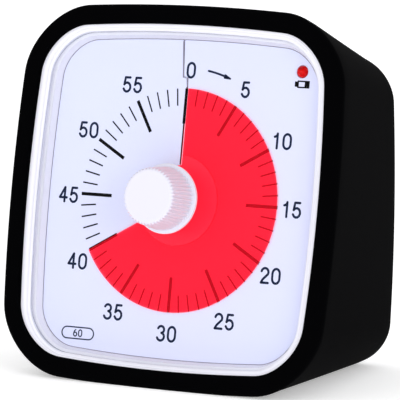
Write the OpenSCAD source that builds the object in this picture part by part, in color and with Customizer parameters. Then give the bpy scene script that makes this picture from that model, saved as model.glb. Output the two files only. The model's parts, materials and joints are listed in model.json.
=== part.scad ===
// Visual countdown timer: a clock-sized case in a silicone sleeve, with a red film disc
// that feeds through a slit in the dial card, a knob, and a quartz movement behind it.
// Millimetres. Every piece is drawn in the dial's own axes and then stood on its base:
// X right, Y into the case, Z up along the dial, with the dial card's face at Y = 0 and
// the knob's axis at X = Z = 0. The case stands on its tapered underside, so the dial leans
// back, and its back panel is upright. What the back panel carries is drawn in the panel's
// own axes: Y = 0 on its outer face, and Z up.

/* [Case] */
// Width of the sleeve at its front edge
body_w = 93.4; // [90:0.2:98]
// Height of the sleeve at its front edge
body_h = 96.4; // [94:0.1:100]
// Width of the sleeve at its back
back_w = 71.4; // [69:0.2:78]
// Height of the sleeve at its back
back_h = 79.4; // [76:0.2:82]
// Depth of the sleeve along the dial's axis
body_d = 58; // [56:0.2:64]
// Angle that the dial leans back when the timer stands
lean = 9.3; // [8:0.1:11]
// Corner radius at the front
front_corner_r = 16.6; // [14:0.2:20]
// Corner radius at the back
back_corner_r = 10.3; // [9.5:0.1:14]
// How far each side bows out at the front
front_bow = 2.3; // [0:0.1:3]
// How far each side bows out at the back
back_bow = 1.3; // [0:0.1:2]
// Height of the case's middle above the knob's axis
body_rise = 0.45; // [0:0.05:1]
// Depth of the flat that the sleeve stands on
foot_cut = 0.5; // [0.2:0.1:0.8]

/* [Sleeve] */
// Thickness of the silicone on the sides
sleeve_wall = 2; // [1.5:0.1:2.5]
// Thickness of the silicone lips
lip_t = 1.2; // [0.8:0.1:1.6]
// Width of the front lip
lip_w = 4.9; // [4.5:0.1:5.2]
// Width of the lip round the back panel
back_lip_w = 5; // [4:0.5:6]
// Radius of the sleeve's front edge
front_edge_r = 2.2; // [1.5:0.1:2.6]
// Radius of the sleeve's back edge
back_edge_r = 2.6; // [1.5:0.1:3]

/* [Dial] */
// Depth of the dial card below the sleeve's front
dial_depth = 5.6; // [5.4:0.1:7]
// Width of the dial window
window_w = 74.8; // [70:0.2:75]
// Height of the dial window
window_h = 79.4; // [74:0.2:80]
// Corner radius of the dial window
window_r = 10; // [8:0.5:12]
// How far the window's sides bow out
window_bow = 2.2; // [0:0.1:3]
// Thickness of the printed dial card
card_t = 0.5; // [0.4:0.1:0.8]
// Width of the slit that the film passes through
slit_w = 0.4; // [0.36:0.02:0.6]
// Offset of the slit's line to the left of the knob's axis
slit_x = 0.2; // [0:0.1:0.4]

/* [Film disc] */
// Diameter of the red film disc
disc_d = 56; // [50:1:57]
// Thickness of the film
film_t = 0.2; // [0.1:0.05:0.2]
// Minutes that show at rest
rest_minutes = 40; // [5:5:55]
// Diameter of the hub that carries the film
hub_d = 16.8; // [15:0.2:17]

/* [Knob] */
// Distance from the dial card to the knob's front
knob_reach = 15.2; // [13:0.2:18]
// Diameter of the knob's flange
flange_d = 17.5; // [16.5:0.1:19]
// Diameter of the grip where it leaves the flange
grip_back_d = 15.4; // [14:0.1:16]
// Diameter of the grip at its front
grip_front_d = 14.4; // [13:0.1:15]
// Thickness of the flange
flange_t = 1.1; // [0.8:0.1:1.5]
// Diameter of the neck that passes through the lens
neck_d = 9; // [8:0.5:11]
// Number of flutes round the grip
flutes = 48; // [24:4:60]

/* [Lens] */
// Thickness of the clear lens
lens_t = 1.2; // [1:0.1:1.5]
// Radius of the lens's shallow dome
lens_dome_r = 900; // [800:50:2000]
// Height of the lens's crown above the dial card
lens_crown = 4.7; // [4.5:0.1:5]

/* [Movement] */
// Diameter of the dial's arbor
arbor_d = 4; // [3:0.5:4.5]
// Gear module of the fast wheels
fine_module = 0.3; // [0.26:0.01:0.3]
// Gear module of the last pair
coarse_module = 0.4; // [0.36:0.01:0.4]
// Thickness of a gear's toothed rim
wheel_t = 0.8; // [0.6:0.1:0.9]
// Diameter of the thin arbors of the train
pivot_d = 1; // [0.8:0.1:1.2]
// Height between the movement's plates
movement_gap = 11.6; // [11.4:0.2:14]
// Thickness of the movement's plates
plate_t = 1.2; // [1:0.1:1.6]
// Diameter of the screws through the movement
movement_screw_d = 1.8; // [1.6:0.1:2]

/* [Battery] */
// Diameter of the cell, size AA
cell_d = 14.2; // [13.5:0.1:14.5]
// Length of the cell over its button
cell_l = 50.5; // [49.5:0.1:51]
// Height of the cell's axis below the knob's axis
cell_drop = 11; // [10.5:0.1:11.5]
// Wall of the battery compartment
tub_wall = 2.2; // [1.8:0.1:2.4]
// Thickness of the battery door
door_t = 2; // [1.6:0.1:2.2]
// Diameter of the door's hinge pins
door_pin_d = 1.6; // [1.2:0.1:1.8]
// Diameter of the contact spring's wire
spring_wire_d = 0.5; // [0.4:0.05:0.6]

/* [Case parts] */
// Wall of the plastic case
case_wall = 1.8; // [1.5:0.1:2.2]
// Thickness of the back panel
back_t = 2; // [1.8:0.1:2.4]
// Diameter of the case screws
case_screw_d = 2.4; // [2:0.1:2.6]
// Travel of the sound switch
switch_travel = 3; // [2:0.5:4]
// Diameter of the indicator light
led_d = 2.9; // [2.5:0.1:3]

/* [Hidden] */
$fn = 64;
tiny = 0.01;

// Fits
seat = 0.05;         // gap between pieces that seat on each other
running = 0.05;      // radial clearance of a pivot in its hole
moving_gap = 0.3;    // gap between pieces that pass each other
case_gap = 0.1;      // gap between the sleeve and the case

// Planes along the dial's axis
front_y = -dial_depth;
back_y = front_y + body_d;
bezel_front_y = front_y + lip_t + case_gap;
panel_y = back_y - lip_t - case_gap;
panel_in_y = panel_y - back_t;
split_y = 9;                       // joint between the bezel and the rear housing
girth_y = (split_y + panel_y) / 2;  // ring that keeps the sleeve and the housing parallel
lens_seat_y = -2;
ledge_y = -0.1;                    // the bezel's ledge in front of the card
pocket_y = 1;                      // depth of the card's pocket in the bezel
film_front_y = -0.5;
film_back_y = card_t + 0.4;
recess_y = film_back_y + film_t + 0.6;
support_y = recess_y + 1.5;        // back of the dial support
movement_y = support_y + 1.8;      // front of the movement
movement_in_y = movement_y + plate_t;
movement_out_y = movement_in_y + movement_gap;
movement_back_y = movement_out_y + plate_t;

// Stand: the underside runs level from the front edge to the foot of the upright back
front_foot_z = -body_h / 2 + body_rise;
back_foot_z = (front_foot_z + body_d * tan(lean)) / (1 + pow(tan(lean), 2));
back_rise = back_foot_z + back_h / 2;
lift = front_y * sin(lean) - front_foot_z * cos(lean) - foot_cut;
knob_edge_r = 0.6;
front_most = -(knob_reach - knob_edge_r) * cos(lean)
    - (grip_front_d / 2 - knob_edge_r) * sin(lean) - knob_edge_r;
back_most = back_y * cos(lean);
shift_y = -(front_most + back_most) / 2;

// Sizes of the case's outline at a depth y, from the front (0) to the back panel (1)
function along(y) = (y - front_y) / (panel_y - front_y);
function mix(a, b, t) = a + (b - a) * t;
function half_w(y) = mix(body_w, back_w, along(y)) / 2;
function half_h(y) = mix(body_h, back_h, along(y)) / 2;
function rise(y) = mix(body_rise, back_rise, along(y));
function corner(y) = mix(front_corner_r, back_corner_r, along(y));
function bow(y) = mix(front_bow, back_bow, along(y));

// A rounded rectangle whose sides are pushed out in shallow parabolas by b
corner_steps = 9;
side_steps = 7;
function pushed(p, w, h, b) = [
    p.x + sign(p.x) * b * pow(abs(p.x) / (w - b), 4) * (1 - pow(p.y / h, 2)),
    p.y + sign(p.y) * b * pow(abs(p.y) / (h - b), 4) * (1 - pow(p.x / w, 2))];
function corner_centre(q, w, h, r) = [(q == 0 || q == 3 ? 1 : -1) * (w - r), (q < 2 ? 1 : -1) * (h - r)];
function arc_point(q, k, w, h, r) = corner_centre(q, w, h, r)
    + r * [cos(90 * q + 90 * k / corner_steps), sin(90 * q + 90 * k / corner_steps)];
function outline(w, h, r, b) = [for (q = [0 : 3]) each concat(
    [for (k = [0 : corner_steps]) pushed(arc_point(q, k, w - b, h - b, r), w, h, b)],
    [for (s = [1 : side_steps - 1]) let (t = s / side_steps)
        pushed(arc_point(q, corner_steps, w - b, h - b, r) * (1 - t)
            + arc_point((q + 1) % 4, 0, w - b, h - b, r) * t, w, h, b)])];
function flat(points, z) = [for (p = points) [p.x, p.y + z]];
// The case's outline at depth y, inset by d, and the same as a ring that leans towards the
// upright back by a share; the window's outline, outset by e, and the same as a flat ring
function case_2d(y, d) = flat(outline(half_w(y) - d, half_h(y) - d, corner(y) - d, bow(y)), rise(y));
function case_ring(d, y, share = -1) = let (s = share < 0 ? along(y) : share)
    [for (p = case_2d(y, d)) [p.x, y - s * p.y * tan(lean), p.y]];
function window_2d(e) = flat(outline(window_w / 2 + e, window_h / 2 + e, window_r + e, window_bow), body_rise);
function window_ring(e, y) = [for (p = window_2d(e)) [p.x, y, p.y]];

// A skin over rings of equal point counts; looped closes the last ring to the first
module skin(rings, looped = false) {
    n = len(rings[0]);
    k = len(rings);
    sides = [for (i = [0 : k - (looped ? 1 : 2)], j = [0 : n - 1])
        let (a = i * n + j, d = i * n + (j + 1) % n,
             b = (i + 1) % k * n + j, c = (i + 1) % k * n + (j + 1) % n)
        each [[a, d, c], [a, c, b]]];
    caps = looped ? [] : [[for (j = [n - 1 : -1 : 0]) j], [for (j = [0 : n - 1]) (k - 1) * n + j]];
    polyhedron([for (r = rings) each r], concat(sides, caps));
}
// An outline in X and Z, extruded along the dial's axis from y0 to y1
module plate(y0, y1) translate([0, y1, 0]) rotate([90, 0, 0]) linear_extrude(y1 - y0) children();
module rod(y0, y1, d, x = 0, z = 0) translate([x, y1, z]) rotate([90, 0, 0]) cylinder(h = y1 - y0, d = d);
module bar(x0, x1, y0, y1, z0, z1) translate([x0, y0, z0]) cube([x1 - x0, y1 - y0, z1 - z0]);
module rounded(x0, x1, z0, z1, r) {
    for (x = [x0 + r, x1 - r], z = [z0 + r, z1 - r]) translate([x, z]) circle(r);
    translate([x0 + r, z0]) square([x1 - x0 - 2 * r, z1 - z0]);
    translate([x0, z0 + r]) square([x1 - x0, z1 - z0 - 2 * r]);
}
// Turned about the dial's axis; the profile's height is the distance in front of the card
module turned() rotate([90, 0, 0]) rotate_extrude() children();
// Stand the piece on its base, with the origin under the middle of the whole timer
module stand() translate([0, shift_y, lift]) rotate([-lean, 0, 0]) children();
// The back panel's own axes: Y outwards from its outer face, Z up
module on_back() translate([0, panel_y, 0]) rotate([lean, 0, 0]) children();

// Sleeve: one closed section carried round the case
edge_steps = 5;
function edge_arc(r) = [for (s = [0 : edge_steps]) let (a = 90 * s / edge_steps) [r * (1 - sin(a)), r * (1 - cos(a))]];
lip_edge_r = 0.4;
inside_edge = 0.8;                 // fillet between the sleeve's wall and its lips
sleeve_front = concat(
    [[lip_w, front_y + lip_t], [lip_w, front_y + lip_edge_r], [lip_w - lip_edge_r, front_y]],
    [for (p = edge_arc(front_edge_r)) [p.x, front_y + p.y]]);
sleeve_back = concat(
    [for (s = [edge_steps : -1 : 0]) let (p = edge_arc(back_edge_r)[s]) [p.x, back_y - p.y]],
    [[back_lip_w - lip_edge_r, back_y], [back_lip_w, back_y - lip_edge_r], [back_lip_w, back_y - lip_t],
     [sleeve_wall + inside_edge, back_y - lip_t], [sleeve_wall, back_y - lip_t - inside_edge]]);
sleeve_inside = [case_ring(sleeve_wall, girth_y), case_ring(sleeve_wall, split_y),
    case_ring(sleeve_wall, front_y + lip_t + inside_edge, 0), case_ring(sleeve_wall + inside_edge, front_y + lip_t, 0)];
module silicone_sleeve() color("#15161a") difference() {
    stand() skin(concat([for (p = sleeve_front) case_ring(p.x, p.y, 0)],
        [for (p = sleeve_back) case_ring(p.x, p.y, 1)], sleeve_inside), looped = true);
    translate([-body_w, -body_d * 2, -20]) cube([body_w * 2, body_d * 4, 20]);
}

// Bezel: the lens seat, the slope down to the card, the rim, and a skirt under the sleeve
case_inset = sleeve_wall + case_gap;
case_in_inset = case_inset + case_wall;
lens_gap = 0.15;
lens_outset = 1.4;
seat_outset = lens_outset + lens_gap;
card_outset = 1.2;
card_gap = 0.1;
support_inset = case_in_inset + 0.15;
bezel_rings = [
    window_ring(0, ledge_y), window_ring(0.7, lens_seat_y), window_ring(seat_outset, lens_seat_y),
    window_ring(seat_outset, lens_seat_y - 1.4), window_ring(2.2, bezel_front_y + 0.4),
    window_ring(3, bezel_front_y), case_ring(case_inset + 1.6, bezel_front_y, 0),
    case_ring(case_inset + 0.5, bezel_front_y + 0.4, 0), case_ring(case_inset, bezel_front_y + 1.5, 0),
    case_ring(case_inset, split_y), case_ring(case_in_inset, split_y),
    case_ring(case_in_inset, pocket_y, 0), window_ring(card_outset + card_gap, pocket_y),
    window_ring(card_outset + card_gap, ledge_y)];
snap_l = 10;
snap_y = support_y + seat;
snap_depth = 0.5;
module snap(x, z, half_x, half_z) bar(x - half_x, x + half_x, snap_y, snap_y + 1, z - half_z, z + half_z);
module front_bezel() color("#eceef2") stand() {
    skin(bezel_rings, looped = true);
    for (s = [-1, 1]) {
        snap(s * (half_w(snap_y) - case_in_inset), 0, snap_depth, snap_l / 2);
        snap(0, rise(snap_y) + s * (half_h(snap_y + 1) - case_in_inset), snap_l / 2, snap_depth);
    }
}

// Lens: a clear shell with a shallow dome and a rim that stands on the bezel's seat
module dome(r) turned() intersection() {
    translate([0, lens_crown - lens_dome_r]) circle(r, $fn = 3600);
    square([body_w, lens_crown + 1]);
}
module lens() color("#dfe8f0", 0.25) stand() difference() {
    intersection() {
        plate(-lens_crown - 1, lens_seat_y - seat) polygon(window_2d(lens_outset));
        dome(lens_dome_r);
    }
    intersection() {
        plate(-lens_crown, 0) polygon(window_2d(-1.2));
        dome(lens_dome_r - lens_t);
    }
    rod(-lens_crown - 1, 0, neck_d + 2 * moving_gap + 0.2);
}

// Dial card, with its centre hole, its dog-leg slit and the hole for the light
led_from_side = 5.8;               // from the window's corner to the indicator light
led_from_top = 6.55;
led_x = window_w / 2 - led_from_side;
led_z = window_h / 2 + body_rise - led_from_top;
card_hole_d = hub_d + 2 * moving_gap + 0.2;
slit_path = [[-slit_x, hub_d / 2 - 1], [-slit_x, 28.4], [-slit_x - 0.25, 30.6], [-slit_x - 1.4, 30.9],
    [-slit_x - 2.2, window_h / 2 + card_outset + 2]];
module dial_slit() for (i = [0 : len(slit_path) - 2]) {
    run = slit_path[i + 1] - slit_path[i];
    translate(slit_path[i]) rotate(atan2(run.y, run.x)) translate([-slit_w / 2, -slit_w / 2])
        square([norm(run) + slit_w, slit_w]);
}
module dial_card() color("#e6ebff") stand() plate(0, card_t) difference() {
    polygon(window_2d(card_outset));
    circle(d = card_hole_d);
    dial_slit();
    translate([led_x, led_z]) circle(d = led_d + 0.3);
}

// Dial support: backs the card, leaves room for the film behind it, carries the movement
film_room_d = disc_d + 3;
pillar_d = 4.4;
pillars = [[-23.5, 23.5], [12.5, 23.5], [12.5, -16.5], [-25.5, -17.5]];
case_screw_x = 25.5;
case_screw_low = -28;
case_screw_high = 31.8;
tower_d = 8;
thin_tower_d = 5.2;
case_screw_places = [for (s = [-1, 1], z = [case_screw_low, case_screw_high]) [s * case_screw_x, z]];
led_flange_d = led_d + 0.9;
module dial_support() color("#f1f1ee") stand() difference() {
    union() {
        plate(card_t + seat, pocket_y + seat) polygon(window_2d(card_outset));
        plate(pocket_y + seat, support_y) polygon(case_2d(support_y + 1.5, support_inset));
        for (p = pillars) rod(support_y - tiny, movement_y - seat, pillar_d, p.x, p.y);
        for (p = case_screw_places) rod(support_y - tiny, split_y + 0.2, thin_tower_d, p.x, p.y);
    }
    rod(0, recess_y, film_room_d);
    rod(0, support_y + 1, card_hole_d);
    rod(0, support_y + 1, led_d + 0.3, led_x, led_z);
    rod(card_t + 1, support_y + 1, led_flange_d + 0.3, led_x, led_z);
    for (p = pillars) rod(recess_y, movement_y, movement_screw_d + 0.1, p.x, p.y);
    for (p = case_screw_places) rod(recess_y, split_y + 1, case_screw_d + 0.1, p.x, p.y);
}

// Film disc: in front of the card up to the minutes set, behind it for the rest
rest_angle = rest_minutes * 6;
film_in_r = 5;
film_slack = 0.6;
function fan(a0, a1, r) = concat([[0, 0]],
    [for (k = [0 : 60]) let (a = a0 + (a1 - a0) * k / 60) [r * sin(a), r * cos(a)]]);
module sector(a0, a1) difference() {
    polygon(fan(a0, a1, disc_d / 2));
    circle(film_in_r);
}
module film_disc() color("#ff2a3f", 0.8) stand() {
    plate(film_front_y, film_front_y + film_t) union() {
        difference() {
            sector(0, rest_angle);
            translate([-disc_d, -disc_d]) square([disc_d - slit_x - film_t / 2, disc_d * 2]) ;
        }
        sector(90, rest_angle);
        translate([-slit_x - film_t / 2, film_in_r]) square([slit_x + film_t, disc_d / 2 - film_in_r - tiny]);
    }
    plate(film_back_y, film_back_y + film_t) union() {
        sector(rest_angle, 360 - 1);
        translate([-slit_x - film_slack, film_in_r])
            square([film_slack + film_t / 2, disc_d / 2 - film_in_r - film_slack]);
    }
    bar(-slit_x - film_t / 2, -slit_x + film_t / 2, film_front_y, film_back_y + film_t,
        film_in_r, disc_d / 2 - film_slack);
}
hub_front_y = film_front_y + film_t + 0.02;
hub_back_y = film_back_y - 0.02;
module film_hub() color("#f4f4f4") stand() difference() {
    rod(hub_front_y, hub_back_y, hub_d);
    rod(hub_front_y - 1, hub_back_y + 1, arbor_d + 0.04);
    bar(-slit_x - film_slack, -slit_x + film_slack, hub_front_y - 1, hub_back_y + 1, film_in_r - 0.3, hub_d);
}

// Knob: a flange, a tapering fluted grip and a neck through the lens
flange_h = lens_crown + 1;
grip_h = flange_h + flange_t;
arbor_front = knob_reach - 4;
flange_edge = 0.3;
module knob_profile() {
    square([neck_d / 2, flange_h + 0.1]);
    polygon([[0, flange_h], [flange_d / 2 - flange_edge, flange_h], [flange_d / 2, flange_h + flange_edge],
        [flange_d / 2, grip_h - flange_edge], [flange_d / 2 - flange_edge, grip_h], [grip_back_d / 2, grip_h],
        [grip_front_d / 2, knob_reach - knob_edge_r], [grip_front_d / 2 - knob_edge_r, knob_reach], [0, knob_reach]]);
    intersection() {
        translate([grip_front_d / 2 - knob_edge_r, knob_reach - knob_edge_r]) circle(knob_edge_r);
        square(flange_d * 2);
    }
}
flute_r = 0.42;
flute_tilt = atan((grip_back_d - grip_front_d) / 2 / (knob_reach - knob_edge_r - grip_h));
module knob() color("#f3f3fa") stand() difference() {
    turned() difference() {
        knob_profile();
        square([grip_back_d, -film_front_y + 0.02]);
        square([arbor_d / 2 + 0.02, arbor_front + 0.1]);
    }
    for (k = [0 : flutes - 1]) rotate([0, 360 * k / flutes, 0])
        translate([grip_back_d / 2 + flute_r / 2, -grip_h, 0]) rotate([90, 0, 0]) rotate([0, -flute_tilt, 0])
            cylinder(r = flute_r, h = knob_reach, $fn = 4);
}

// Arbor of the dial, its bush, and the friction clutch that lets the dial be set by hand
arbor_step_y = movement_in_y + 0.35;
arbor_tail_d = 2.4;
clutch_t = 0.3;
clutch_d = 11;
wheel1_y = movement_in_y + 0.8;     // centre wheel
level_step = 1.6;
wheel2_y = wheel1_y + level_step;   // third wheel
wheel3_y = wheel2_y + level_step;   // second wheel
wheel4_y = wheel3_y + level_step;   // first wheel
module dial_arbor() color("#b9bcc2") stand() {
    rod(-arbor_front, arbor_step_y, arbor_d);
    rod(arbor_step_y - tiny, movement_back_y - 0.2, arbor_tail_d);
}
module clutch_spring() color("#caa95a") stand() plate(arbor_step_y + 0.02, arbor_step_y + 0.02 + clutch_t)
    difference() {
        union() {
            circle(d = 5);
            for (k = [0 : 2]) rotate(120 * k) translate([0, -1]) square([clutch_d / 2, 2]);
            difference() {
                circle(d = clutch_d);
                circle(d = clutch_d - 2);
            }
        }
        circle(d = arbor_tail_d + 0.04);
    }
bush_d = 7;
module arbor_bush() color("#c9a227") stand() difference() {
    union() {
        rod(support_y + 0.4, movement_in_y - 0.02, bush_d);
        rod(support_y + 0.4, movement_y - 0.02, bush_d + 2);
    }
    rod(0, movement_in_y + 1, arbor_d + 2 * running);
}

// Gear teeth: flanks narrow from the root to the tip, thin enough to run with backlash
// A tooth's half width is a share of the angle between teeth
function tooth(a, step, r_in, r_mid, r_out, root, mid, tip) =
    [for (p = [[r_in, -root], [r_mid, -mid], [r_out, -tip], [r_out, tip], [r_mid, mid], [r_in, root]])
        p[0] * [cos(a + p[1] * step), sin(a + p[1] * step)]];
module wheel_teeth(n, m, phase) {
    r = n * m / 2;
    polygon([for (k = [0 : n - 1]) each
        tooth(phase + 360 * k / n, 360 / n, r - 1.1 * m, r, r + 0.9 * m, 0.24, 0.21, 0.09)]);
}
module pinion_leaves(n, m, phase) {
    r = n * m / 2;
    polygon([for (k = [0 : n - 1]) each
        tooth(phase + 360 * k / n, 360 / n, r - 1.3 * m, r, r + 0.5 * m, 0.17, 0.17, 0.1)]);
}
rotor_leaves = 8;
first_teeth = 60;
first_leaves = 8;
second_teeth = 60;
second_leaves = 10;
third_teeth = 64;
third_leaves = 12;
centre_teeth = 60;
function centres(leaves, teeth, m) = (leaves + teeth) * m / 2;
// Places of the arbors: each is its centre distance away from the one before, at a chosen angle
third_at = centres(third_leaves, centre_teeth, coarse_module) * [cos(90), sin(90)];
second_at = third_at + centres(second_leaves, third_teeth, fine_module) * [cos(172), sin(172)];
first_at = second_at + centres(first_leaves, second_teeth, fine_module) * [cos(234), sin(234)];
rotor_at = first_at + centres(rotor_leaves, first_teeth, fine_module) * [cos(267), sin(267)];
function bearing(from, to) = atan2(to.y - from.y, to.x - from.x);
function gap_phase(from, to, n) = bearing(from, to) + 180 / n;
pinion_over = 0.3;
module pinion(at, towards, n, m, y) plate(y - pinion_over, y + wheel_t + pinion_over)
    translate(at) pinion_leaves(n, m, bearing(at, towards));
module spindle(at) rod(movement_y + 0.2, movement_back_y - 0.2, pivot_d, at.x, at.y);
// A wheel with a thin web between its rim and its boss
module wheel(at, towards, n, m, y, boss) {
    web = wheel_t / 2;
    difference() {
        plate(y, y + wheel_t) translate(at) wheel_teeth(n, m, gap_phase(at, towards, n));
        difference() {
            rod(y - 1, y + web / 2, n * m - 5 * m, at.x, at.y);
            rod(y - 2, y + 1, boss, at.x, at.y);
        }
    }
}
module centre_wheel() color("#f0efe6") stand() difference() {
    union() {
        wheel([0, 0], third_at, centre_teeth, coarse_module, wheel1_y, 7);
        rod(wheel1_y, wheel1_y + wheel_t + 0.6, 5);
    }
    rod(wheel1_y - 1, wheel1_y + 3, arbor_tail_d + 2 * running);
}
module third_wheel() color("#e9e4d2") stand() {
    wheel(third_at, second_at, third_teeth, fine_module, wheel2_y, 5);
    pinion(third_at, [0, 0], third_leaves, coarse_module, wheel1_y);
    rod(wheel1_y + wheel_t, wheel2_y + tiny, 2.6, third_at.x, third_at.y);
    spindle(third_at);
}
module second_wheel() color("#dfe3e6") stand() {
    wheel(second_at, first_at, second_teeth, fine_module, wheel3_y, 4);
    pinion(second_at, third_at, second_leaves, fine_module, wheel2_y);
    rod(wheel2_y + wheel_t, wheel3_y + tiny, 1.8, second_at.x, second_at.y);
    spindle(second_at);
}
module first_wheel() color("#e9e4d2") stand() {
    wheel(first_at, rotor_at, first_teeth, fine_module, wheel4_y, 4);
    pinion(first_at, second_at, first_leaves, fine_module, wheel3_y);
    rod(wheel3_y + wheel_t, wheel4_y + tiny, 1.4, first_at.x, first_at.y);
    spindle(first_at);
}
magnet_d = 6;
magnet_y = wheel4_y + wheel_t + 1;
magnet_t = 2;
module rotor() color("#4a4d52") stand() {
    pinion(rotor_at, first_at, rotor_leaves, fine_module, wheel4_y);
    rod(wheel4_y + wheel_t, magnet_y + tiny, 1.4, rotor_at.x, rotor_at.y);
    rod(magnet_y, magnet_y + magnet_t, magnet_d, rotor_at.x, rotor_at.y);
    spindle(rotor_at);
}

// Stepping motor: a soft-iron stator round the rotor's magnet, and the coil across its legs
stator_y = magnet_y + 0.6;
stator_t = 0.8;
stator_w = 13;
stator_up = 5.5;                   // from the rotor's axis to the stator's two ends
stator_down = 13.5;
stator_corner_r = 1;
leg_w = 3;
coil_d = 5.4;
coil_below = 11.5;
coil_z = rotor_at.y - coil_below;
module stator() color("#8d9299") stand() {
    plate(stator_y, stator_y + stator_t) difference() {
        translate(rotor_at) rounded(-stator_w / 2, stator_w / 2, -stator_down, stator_up, stator_corner_r);
        translate(rotor_at) circle(d = magnet_d + 0.9);
        translate([rotor_at.x - stator_w / 2 + leg_w, coil_z - coil_d / 2 - 1])
            square([stator_w - 2 * leg_w, coil_d + 3]);
    }
}
module coil() color("#b5622e") stand() {
    x0 = rotor_at.x - stator_w / 2 + leg_w + seat;
    x1 = rotor_at.x + stator_w / 2 - leg_w - seat;
    axis_y = stator_y + stator_t / 2;
    translate([x0, axis_y, coil_z]) rotate([0, 90, 0]) cylinder(h = x1 - x0, d = coil_d - 1);
    for (x = [x0, x1 - 0.6]) translate([x, axis_y, coil_z]) rotate([0, 90, 0]) cylinder(h = 0.6, d = coil_d);
}

// Movement plates, held together and to the dial support by four screws
movement_left = 28.5;              // from the dial's axis to the plates' edges
movement_right = 16;
movement_low = 21;
movement_high = 28;
movement_corner_r = 6;
module movement_outline()
    rounded(-movement_left, movement_right, -movement_low, movement_high, movement_corner_r);
module pivot_holes() for (p = [third_at, second_at, first_at, rotor_at]) translate(p) circle(d = pivot_d + 2 * running);
module screw_holes(d) for (p = pillars) translate(p) circle(d = d);
module movement_front_plate() color("#d9dadd") stand() plate(movement_y, movement_in_y) difference() {
    movement_outline();
    pivot_holes();
    screw_holes(movement_screw_d + 0.1);
    circle(d = bush_d + 0.04);
}
module movement_rear_plate() color("#cfd1d6") stand() {
    plate(movement_out_y, movement_back_y) difference() {
        movement_outline();
        pivot_holes();
        screw_holes(movement_screw_d + 0.1);
        circle(d = arbor_tail_d + 2 * running);
    }
    plate(movement_in_y + seat, movement_out_y + tiny) difference() {
        screw_holes(pillar_d - 0.8);
        screw_holes(movement_screw_d + 0.1);
    }
}
module movement_screws() color("#a9adb3") stand() for (p = pillars) {
    rod(movement_back_y + 0.02, movement_back_y + 1.2, movement_screw_d * 1.8, p.x, p.y);
    rod(recess_y + 0.3, movement_back_y + 0.5, movement_screw_d, p.x, p.y);
}

// Rear housing: a tapering shell, four screw towers and the battery compartment
cell_r = cell_d / 2;
tub_half_h = cell_r + 0.9;
tub_low = -cell_drop - tub_half_h;
tub_high = -cell_drop + tub_half_h;
tub_x = 28.3;
cell_in = back_t + 0.5 + cell_r;            // depth of the cell's axis below the back panel
tub_in = cell_in + cell_r + 0.4;
tub_floor = 1.5;
door_x = tub_x + 0.9;
door_opening_x = door_x + moving_gap;
hinge_r = 1.4;
hinge_z = tub_low + 0.2;
door_low = hinge_z - hinge_r;
door_high = tub_high + 0.8;
pin_l = 1;
head_y = 21;
past_back_y = back_y + 10;                  // beyond the panel, which slants in the dial's axes
sound_at = [-11, 16];
switch_at = [11, 16];
switch_tip = [3.2, 2.2];
board_low = 3;
board_high = 29;
board_half_w = 23;
board_screw_places = [for (x = [-20, 20], z = [board_low + 3, board_high - 3]) [x, z]];
board_in = back_t + 6;                      // depth of the board's back face below the back panel
board_t = 1.6;
board_boss_d = 4.4;
board_screw_d = 1.6;
pocket_w = 12;
pocket_h = 6;
pocket_d = 0.8;
grip_cut_d = 12;
sound_hole_d = 1.6;
housing_outer = [case_ring(case_inset, split_y + seat), case_ring(case_inset, girth_y),
    case_ring(case_inset, panel_y - 2.2, 1),
    case_ring(case_inset + 0.5, panel_y - 0.8, 1), case_ring(case_inset + 1.6, panel_y, 1)];
housing_inner = [case_ring(case_in_inset, split_y - 1), case_ring(case_in_inset, girth_y),
    case_ring(case_in_inset, panel_in_y - 1.5, 1),
    case_ring(case_in_inset + 1.2, panel_in_y, 1)];
module sound_holes() {
    circle(d = sound_hole_d);
    for (ring = [[0, 3], [30, 5.2]], k = [0 : 5]) rotate(60 * k + ring[0]) translate([ring[1], 0])
        circle(d = sound_hole_d);
}
module hinge_rod(r, half_l) translate([-half_l, -hinge_r, hinge_z]) rotate([0, 90, 0]) cylinder(r = r, h = 2 * half_l);
// What the back panel carries: the compartment's walls and the board's bosses
module back_walls() on_back() {
    bar(-tub_x - tub_wall, tub_x + tub_wall, -tub_in - tub_floor, -back_t / 2,
        tub_low - tub_wall, tub_high + tub_wall);
    for (p = board_screw_places) rod(seat - board_in, -back_t / 2, board_boss_d, p.x, p.y);
}
module back_cuts() on_back() {
    bar(-tub_x, tub_x, -tub_in, 0.5 - back_t, tub_low, tub_high);
    bar(-door_opening_x, door_opening_x, -door_t - moving_gap, 1, door_low - moving_gap, door_high + moving_gap);
    bar(-door_opening_x, door_opening_x, -2 * hinge_r - moving_gap, 1, door_low - moving_gap,
        hinge_z + hinge_r + moving_gap);
    hinge_rod(door_pin_d / 2 + running, door_opening_x + pin_l + 0.2);
    for (p = board_screw_places) rod(-board_in - 1, -back_t - 1, board_screw_d + 0.1, p.x, p.y);
    plate(-back_t - 1, 1) translate(sound_at) sound_holes();
    bar(switch_at.x - pocket_w / 2, switch_at.x + pocket_w / 2, -pocket_d, 1,
        switch_at.y - pocket_h / 2, switch_at.y + pocket_h / 2);
    bar(switch_at.x - switch_tip.x / 2 - switch_travel / 2 - moving_gap,
        switch_at.x + switch_tip.x / 2 + switch_travel / 2 + moving_gap, -back_t - 1, 1,
        switch_at.y - switch_tip.y / 2 - moving_gap, switch_at.y + switch_tip.y / 2 + moving_gap);
    plate(-0.6, 1) translate([0, door_high + moving_gap]) difference() {
        circle(d = grip_cut_d);
        translate([-grip_cut_d, -2 * grip_cut_d]) square(2 * grip_cut_d);
    }
}
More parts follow.
